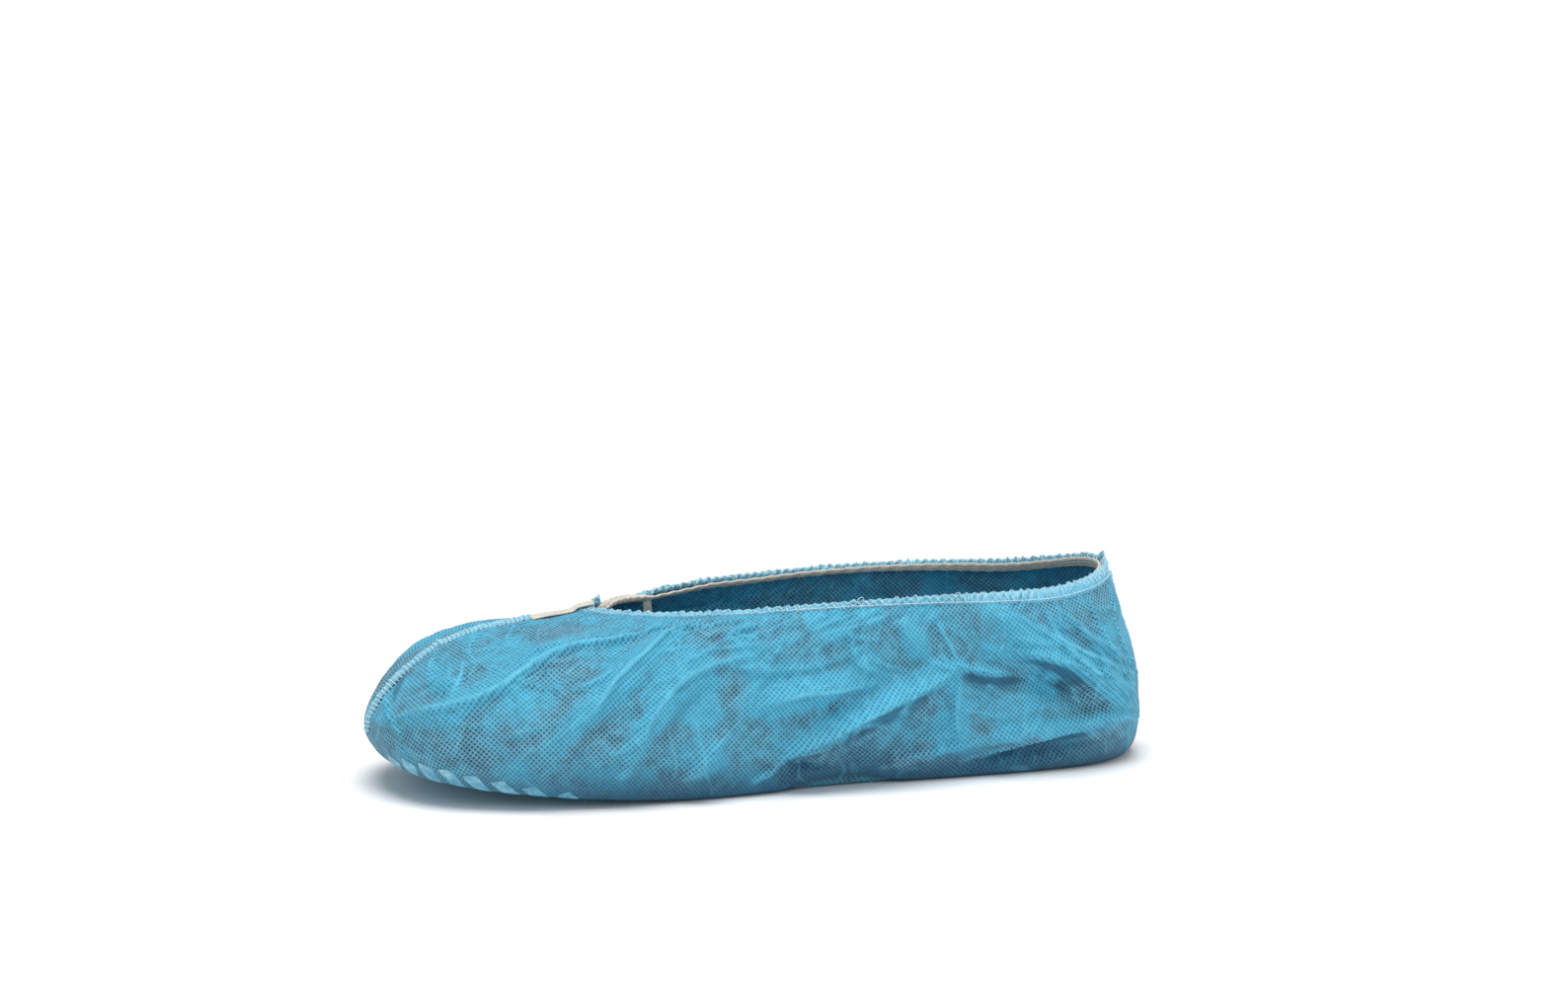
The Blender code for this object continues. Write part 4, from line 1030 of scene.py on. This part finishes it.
def instepPathAt(shares, offset=0.0):  # the seam's line bows from the middle to the near side
    middle, normals = lineBeside(0.5, offset, shares)
    beside, _ = lineBeside(0.5, offset - seam["offset"], shares)
    wayUp = np.clip((shares - seam["foot"]) / (seam["top"] - seam["foot"]), 0, 1)
    blend = np.sin(pi * wayUp)[:, None] ** seam["bow"]
    return middle * (1 - blend) + beside * blend, normals


# The elastic's sewn-down end, forward of the opening and over the seam's line
tail = dict(length=0.028, top=1.045, width=0.0040, thickness=0.0009, overHem=0.0009, hemStart=0.965, rows=42,
            wave=0.00020, waves=7.5, gap=0.0004, tilt=0.0003)
tailFoot = tail["top"] - tail["length"] / lengthsAlong(meridians(np.array([0.5]))[0])[-1]


def makeTail():
    shares = np.linspace(tailFoot, tail["top"], tail["rows"])
    low, outLow = instepPathAt(shares, -tail["width"] / 2)
    high, outHigh = instepPathAt(shares, tail["width"] / 2)
    wave = tail["wave"] * np.sin(np.linspace(0, tail["waves"], len(shares)))
    hemStep = tail["overHem"] * np.clip((shares - tail["hemStart"]) / 0.03, 0, 1)
    sections = []
    for a, b, n, m, w in zip(low, high, outLow, outHigh, wave + hemStep):
        lift = tail["thickness"] + tail["gap"] + w
        sections.append(roundedBand(a + n * lift, b + m * (lift + tail["tilt"]), n, m, tail["thickness"]))
    return np.array(sections) + shift


elasticTail = sweep("elasticTail", makeTail(), elasticCream)
print("elastic made")

# The seams
def finSections(line, normals, lean, seed):
    rng = np.random.default_rng(seed)
    ways = np.gradient(line, axis=0)
    knots = np.linspace(0, len(line) - 1, 30)
    sway = np.interp(np.arange(len(line)), knots, rng.normal(0, 1, 30)) * seam["wave"]
    sections = []
    for point, normal, way, drift in zip(line, normals, ways, sway):
        across = unit(np.cross(way, normal))
        sections.append([point + normal * (seam["lift"] + up * (seam["rise"] + drift))
                         + across * (side * seam["width"] + (lean + drift) * up) for side, up in seamShape])
    return np.array(sections)


instepPath, instepOut = instepPathAt(np.linspace(seam["foot"], tailFoot + 0.01, 110))
heelPath, heelOut = lineBeside(0.0, 0, np.linspace(seam["foot"], seam["top"], 80))
instepSeam = sweep("instepSeam", finSections(instepPath, instepOut, -seam["lean"], 5) + shift, hemBlue)
heelSeam = sweep("heelSeam", finSections(heelPath, heelOut, 0, 6) + shift, hemBlue)
for obj in (instepSeam, heelSeam):
    setValues(obj, crest=0.55, slack=0.8)
print("seams made")


# Thread, laid by geometry nodes
def stitchTree():
    tree = bpy.data.node_groups.new("laidStitches", "GeometryNodeTree")
    for label, kind in (("Geometry", "Geometry"), ("Start", "Vector"), ("Start Handle", "Vector"),
                        ("End Handle", "Vector"), ("End", "Vector"), ("Thread Radius", "Float"),
                        ("Steps", "Int"), ("Size Spread", "Float"), ("Seed", "Int"), ("Material", "Material")):
        tree.interface.new_socket(label, in_out="INPUT", socket_type="NodeSocket" + kind)
    tree.interface.new_socket("Geometry", in_out="OUTPUT", socket_type="NodeSocketGeometry")
    graph = Graph(tree)
    given, out = graph.add("NodeGroupInput").outputs, graph.add("NodeGroupOutput").inputs
    stitch = graph.add("GeometryNodeCurvePrimitiveBezierSegment", mode="POSITION")
    for label in ("Start", "Start Handle", "End Handle", "End"):
        graph.link(given[label], stitch.inputs[label])
    graph.link(given["Steps"], stitch.inputs["Resolution"])
    ring = graph.add("GeometryNodeCurvePrimitiveCircle")
    graph.fillNamed(ring, Resolution=5, Radius=given["Thread Radius"])
    skin = graph.add("GeometryNodeCurveToMesh")
    skin.inputs["Fill Caps"].default_value = True
    graph.link(stitch.outputs["Curve"], skin.inputs["Curve"])
    graph.link(ring.outputs["Curve"], skin.inputs["Profile Curve"])
    facing = graph.add("GeometryNodeInputNamedAttribute", data_type="FLOAT_VECTOR")
    facing.inputs["Name"].default_value = "facing"
    turned = graph.add("FunctionNodeEulerToRotation")
    graph.link(facing.outputs["Attribute"], turned.inputs[0])
    size = graph.add("FunctionNodeRandomValue", data_type="FLOAT")
    limits = [socket for socket in size.inputs if socket.type == "VALUE" and socket.enabled]
    graph.fill(limits, *(graph.math(way, 1.0, given["Size Spread"]) for way in ("SUBTRACT", "ADD")))
    graph.link(given["Seed"], size.inputs["Seed"])
    spread = graph.add("GeometryNodeInstanceOnPoints")
    graph.fillNamed(spread, Points=given["Geometry"], Instance=skin.outputs["Mesh"],
                    Rotation=turned.outputs[0], Scale=[socket for socket in size.outputs if socket.enabled][0])
    real = graph.add("GeometryNodeRealizeInstances")
    graph.link(spread.outputs[0], real.inputs[0])
    painted = graph.add("GeometryNodeSetMaterial")
    graph.fillNamed(painted, Geometry=real.outputs[0], Material=given["Material"])
    graph.link(painted.outputs[0], out[0])
    return tree


laidStitches = stitchTree()


def facings(along, out):  # euler angles that turn X along the path and Y outwards
    angles = []
    for x, y in zip(along, out):
        x = unit(x)
        y = unit(y - x * (x @ y))
        angles.append(Matrix(np.column_stack([x, y, np.cross(x, y)]).tolist()).to_euler("XYZ"))
    return np.array(angles)


def layStitches(name, points, along, out, settings, seed):
    holder = bpy.data.meshes.new(name + "Points")
    holder.from_pydata([tuple(p) for p in points], [], [])
    turning = holder.attributes.new("facing", "FLOAT_VECTOR", "POINT")
    turning.data.foreach_set("vector", facings(along, out).ravel())
    obj = bpy.data.objects.new(name, holder)
    bpy.context.scene.collection.objects.link(obj)
    modifier = obj.modifiers.new("Stitches", "NODES")
    modifier.node_group = laidStitches
    sockets = {s.name: s.identifier for s in laidStitches.interface.items_tree if s.in_out == "INPUT"}
    for label, value in {**settings, "Seed": seed, "Material": threadWhite}.items():
        modifier[sockets[label]] = value
    mesh = bpy.data.meshes.new_from_object(obj.evaluated_get(bpy.context.evaluated_depsgraph_get()))
    obj.modifiers.clear()
    obj.data = mesh
    mesh.name = name
    bpy.data.meshes.remove(holder)
    mesh.polygons.foreach_set("use_smooth", [True] * len(mesh.polygons))
    return facingOut(obj)


stitches = dict(overEdge=0.0020, overTop=0.00012, needle=0.0022, needleHeight=0.22, seamPitch=0.0018,
                thread=0.00014, seamThread=0.00019)


def alongHem(height, pitch, out=0.0):  # places at an even pitch on the hem, and their ways and normals
    turns = np.arange(2400) / 2400
    rows, normals = hemSurface(turns, np.array([max(height - 0.05, 0), height]))
    line, outs = rows[1] + normals[1] * out, normals[1]
    run = lengthsAlong(line)
    wanted = np.arange(0, run[-1] - pitch / 2, pitch)
    places, ways, outs = (sampled(wanted, run, values) for values in (line, np.gradient(line, axis=0), outs))
    return places + shift, ways, outs


def makeStitches():
    thread, reach = stitches["thread"], form["hemBand"] * 0.62
    peak = (8 * stitches["overTop"] + 1.7 * reach) / 6  # so the thread's middle stands that far over the edge
    pitch = stitches["overEdge"]
    overEdge = {
        "Start": (-pitch * 0.45, 0.00022, -reach), "Start Handle": (-pitch * 0.1, 0.0007, peak),
        "End Handle": (pitch * 0.3, -0.0016, peak), "End": (pitch * 0.5, -0.0013, -reach * 0.7),
        "Thread Radius": thread, "Steps": 10, "Size Spread": 0.10}
    places, ways, outs = alongHem(1.0, pitch)
    made = [layStitches("hemOverlock", places, ways, outs, overEdge, 3)]
    pitch = stitches["needle"]
    needle = {
        "Start": (-pitch * 0.46, 0.00002, 0), "Start Handle": (-pitch * 0.2, 0.00045, 0.0001),
        "End Handle": (pitch * 0.2, 0.00045, -0.0001), "End": (pitch * 0.46, 0.00002, 0),
        "Thread Radius": thread * 1.15, "Steps": 6, "Size Spread": 0.08}
    places, ways, outs = alongHem(stitches["needleHeight"], pitch, hem["proud"])
    made.append(layStitches("hemNeedleLine", places, ways, outs, needle, 4))
    for name, path, normals, lean, seed in (("instepOverlock", instepPath, instepOut, -seam["lean"], 8),
                                            ("heelOverlock", heelPath, heelOut, 0.0, 9)):
        run = lengthsAlong(path)
        wanted = np.arange(0.001, run[-1] - 0.0005, stitches["seamPitch"])
        places, ways, outs = (sampled(wanted, run, values)
                              for values in (path, np.gradient(path, axis=0), normals))
        half, top = seam["width"] / 2 + 0.0002, (seam["rise"] + 0.0004) * 4 / 3
        loops = {
            "Start": (-0.0005, -0.0001, -half - 0.0003), "Start Handle": (0, top * 0.95, -half + lean * 1.2),
            "End Handle": (0.0004, top * 0.95, half + lean * 1.2), "End": (0.0007, -0.0001, half + 0.0003),
            "Thread Radius": stitches["seamThread"], "Steps": 9, "Size Spread": 0.12}
        made.append(layStitches(name, places + shift, ways, outs, loops, seed))
    return made


threads = makeStitches()
print("stitches laid:", sum(len(obj.data.polygons) for obj in threads), "faces")

# A loose frayed end of the elastic inside the far front of the opening
looseEnd = dict(turn=0.612, length=0.0085, width=0.0034, strands=14, radius=0.00026, seed=21, rings=9,
                sides=5, inset=0.0044, lift=0.0015, splay=0.0006, bow=0.0006)


def makeLooseEnd():
    rng = np.random.default_rng(looseEnd["seed"])
    band = clothStrip(np.array([looseEnd["turn"], looseEnd["turn"] + 0.004]),
                      lambda whole: whole - np.array([0.0048, 0.0008]))
    normals = outwards(band, closed=False)
    out, sides = normals[1, 0], looseEnd["sides"]
    start = band[1, 0] - out * looseEnd["inset"] + (0, 0, looseEnd["lift"])
    across = unit(band[1, 1] - band[1, 0])
    points, faces = [], []
    for n in range(looseEnd["strands"]):
        side = (n / (looseEnd["strands"] - 1) - 0.5) * looseEnd["width"]
        reach = looseEnd["length"] * rng.uniform(0.75, 1.05)
        splay = rng.normal(0, looseEnd["splay"], 2)
        first = len(points)
        for t in np.linspace(0, 1, looseEnd["rings"]):
            bow = looseEnd["bow"] * np.sin(pi * t) + splay[1] * t**2
            centre = (start + across * (side * (1 + 0.4 * t) + splay[0] * t**2) - out * bow
                      - np.array([0, 0, reach * t]))
            points += [centre + (across * np.cos(angle) + out * np.sin(angle)) * looseEnd["radius"]
                       * (1 - 0.4 * t) for angle in 2 * pi * np.arange(sides) / sides]
        last = len(points) - sides
        for a in range(first, last, sides):
            for k in range(sides):
                m = (k + 1) % sides
                faces.append((a + k, a + m, a + sides + m, a + sides + k))
        faces += [tuple(range(first, first + sides))[::-1], tuple(range(last, last + sides))]
    uv = [(points[k][2], points[k][0]) for face in faces for k in face]
    return facingOut(meshOf("looseElasticEnd", np.array(points) + shift, faces, uv, elasticCream))


looseElasticEnd = makeLooseEnd()

# The coating's bars: the flat ones under the arch and the heel keep their CAD solids. Those at the toe, whose
# ends climb the cloth's edge, are thin films laid over the cloth's folds.
barNodes = [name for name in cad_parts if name.startswith("grip_bar")]
film = dict(bars=13, pitch=0.0124, width=0.0062, slope=0.70, wrap=0.0135, wrapStart=0.080, wrapPower=0.6,
            steep=0.35, firstMiddle=-0.1525, margin=0.006, step=0.0009, columns=8, lift=0.00006,
            thickness=0.00012)


def onCloth(turn, climb):  # a place on the folded cloth, and its way out
    edgeTurns = np.append(turnsOfCover, 1.0)
    column = np.interp(turn % 1, edgeTurns, np.arange(len(edgeTurns)))
    whole = lengthsAlong(smoothRows[:, int(round(column)) % len(turnsOfCover)])[-1]
    row = np.clip(climb / whole, 0, 1) * (len(sharesOfCover) - 1)
    places = []
    for table in (foldedRows, foldedOut):
        r, c = int(min(row, len(table) - 2)), int(column)
        f, g = row - r, column - c
        d = (c + 1) % table.shape[1]
        c %= table.shape[1]
        places.append((table[r, c] * (1 - g) + table[r, d] * g) * (1 - f)
                      + (table[r + 1, c] * (1 - g) + table[r + 1, d] * g) * f)
    return places[0], places[1] / np.linalg.norm(places[1])


def barEnds(middle):  # where a bar crosses the sole's edge: turn, place, edge's way, way out, metres a turn
    turns = np.linspace(0, 1, 4001)
    edge = guideLoop("sole", turns)[:, :2]
    off = edge[:, 0] - film["slope"] * edge[:, 1] - middle
    ends = []
    for i in np.nonzero(off[:-1] * off[1:] < 0)[0]:
        tangent = (edge[i + 1] - edge[i]) / (turns[1] - turns[0])
        speed = np.linalg.norm(tangent)
        tangent /= speed
        outward = np.array([tangent[1], -tangent[0]])
        if outward @ edge[i] < 0:
            outward = -outward
        ends.append((turns[i], edge[i], tangent, outward, speed))
    return sorted(ends, key=lambda end: end[1][1])


def makeFilm(middle):
    near, far = barEnds(middle)
    whole, way = np.linalg.norm(near[1] - far[1]), unit(near[1] - far[1])
    side = np.array([-way[1], way[0]])
    reaches = []
    for end, towards in ((near, way), (far, -way)):
        climbs = max((-end[1][0] - film["wrapStart"]) / (form["length"] / 2 - film["wrapStart"]), 0)
        wraps = climbs > 0 and towards @ end[3] > film["steep"]
        reaches.append(film["wrap"] * climbs ** film["wrapPower"] if wraps else -film["margin"])
    lengths = np.linspace(-whole - reaches[1], reaches[0], int((whole + sum(reaches)) / film["step"]))
    top, bottom = [], []
    for length in lengths:
        for offset in np.linspace(-0.5, 0.5, film["columns"]) * film["width"]:
            place = near[1] + way * length + side * offset
            point, out = None, None
            for end, inside in ((near, length > -whole / 2), (far, length <= -whole / 2)):
                turn, origin, tangent, outward, speed = end
                climb = (place - origin) @ outward
                if inside and climb > 0:
                    point, out = onCloth(turn + (place - origin) @ tangent / speed, climb)
            if point is None:
                point = np.array([*place, form["underside"] + toeLift(place[0])])
                out = np.array([0.0, 0.0, -1.0])
            bottom.append(point + out * film["lift"])
            top.append(point + out * (film["lift"] + film["thickness"]))
    rows, columns = len(lengths), film["columns"]
    count, faces = rows * columns, []
    for r in range(rows - 1):
        for c in range(columns - 1):
            a = r * columns + c
            faces += [(a, a + 1, a + columns + 1, a + columns),
                      (count + a, count + a + columns, count + a + columns + 1, count + a + 1)]
    rim = [*range(columns), *((r + 1) * columns - 1 for r in range(1, rows)),
           *((rows - 1) * columns + c for c in range(columns - 2, -1, -1)),
           *(r * columns for r in range(rows - 2, 0, -1))]
    for a, b in zip(rim, rim[1:] + rim[:1]):
        faces.append((b, a, count + a, count + b))
    return top + bottom, faces


def makeFilms():
    made = []
    for number in range(film["bars"]):
        points, faces = makeFilm(film["firstMiddle"] + number * film["pitch"])
        uv = [points[k][:2] for face in faces for k in face]
        bar = meshOf(f"printedFilm{number + 1:02d}", np.array(points) + shift, faces, uv, printWhite)
        made.append(facingOut(bar))
    return made


foldedOut = outwards(foldedRows)
films = makeFilms()
for name in barNodes[film["bars"]:]:
    for slotOfBar in bpy.data.objects[name].material_slots:
        slotOfBar.material = printWhite
print("printed films laid:", len(films))

# What rides, what it stands for, and what it is made of
for piece, nodesHidden, slotName in (
    (coverCloth, ("cover_body",), "spunbond_cloth"), (gatheredHem, ("gathered_hem",), "gathered_hem"),
    (elasticTape, ("elastic_tape",), "woven_elastic"), (elasticTail, ("elastic_tail",), "woven_elastic"),
    (looseElasticEnd, (), "woven_elastic"), (instepSeam, ("instep_seam",), "overlock_thread"),
    (heelSeam, ("heel_seam",), "overlock_thread"), *((obj, (), "overlock_thread") for obj in threads),
    *((obj, (name,), "anti_slip_coating") for obj, name in zip(films, barNodes)),
):
    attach(piece, "root")
    if nodesHidden:
        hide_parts(*nodesHidden)

# Floor, light and camera
studio = dict(floor=srgb(250, 250, 250), floorSize=8.0, world=0.47, sun=2.35, sunAngle=radians(40),
              sunFrom=(-0.04, -0.10, 1.0), fill=4.0, fillSize=1.0, fillFrom=(0.7, -1.5, 0.9))
viewpoint = dict(azimuth=-15, elevation=12, distance=2.0, middle=(0, 0, 0.035), aimRight=0.0098, aimUp=0.0731,
                 lens=117.5)


def makeStudio():
    half = studio["floorSize"] / 2
    floor = meshOf("studioFloor", [(-half, -half, 0), (half, -half, 0), (half, half, 0), (-half, half, 0)],
                   [(0, 1, 2, 3)], smooth=False)
    made, graph, shader = material("paleFloor")
    grain = graph.mix(graph.noise(graph.place(), 3.0, 2.0), srgb(248, 248, 248), studio["floor"])
    graph.link(grain, shader["Base Color"])
    shader["Roughness"].default_value = 0.9
    shader["Specular IOR Level"].default_value = 0.1
    floor.data.materials.append(made)
    for name, kind, power, place in (("sunLight", "SUN", studio["sun"], studio["sunFrom"]),
                                     ("fillLight", "AREA", studio["fill"], studio["fillFrom"])):
        lamp = bpy.data.lights.new(name, kind)
        lamp.energy = power
        if kind == "SUN":
            lamp.angle = studio["sunAngle"]
        else:
            lamp.shape, lamp.size = "DISK", studio["fillSize"]
        holder = bpy.data.objects.new(name, lamp)
        holder.location = place
        holder.rotation_euler = (-Vector(place)).to_track_quat("-Z", "Y").to_euler()
        bpy.context.scene.collection.objects.link(holder)
    world = bpy.data.worlds.new("paleStudio")
    world.use_nodes = True
    world.node_tree.nodes["Background"].inputs["Color"].default_value = (1, 1, 1, 1)
    world.node_tree.nodes["Background"].inputs["Strength"].default_value = studio["world"]
    bpy.context.scene.world = world
    bpy.context.scene.view_settings.view_transform = "Standard"


def makeCamera():
    azimuth, elevation = radians(viewpoint["azimuth"]), radians(viewpoint["elevation"])
    level = np.cos(elevation)
    back = Vector((np.sin(azimuth) * level, -np.cos(azimuth) * level, np.sin(elevation)))
    right = Vector((np.cos(azimuth), np.sin(azimuth), 0))
    middle = Vector(viewpoint["middle"])
    target = middle + right * viewpoint["aimRight"] + back.cross(right) * viewpoint["aimUp"]
    camera = bpy.data.cameras.new("photoCamera")
    camera.lens, camera.sensor_width = viewpoint["lens"], 36
    holder = bpy.data.objects.new("photoCamera", camera)
    holder.location = middle + back * viewpoint["distance"]
    holder.rotation_euler = (target - holder.location).to_track_quat("-Z", "Y").to_euler()
    bpy.context.scene.collection.objects.link(holder)
    bpy.context.scene.camera = holder


makeStudio()
makeCamera()
print("studio and camera ready")
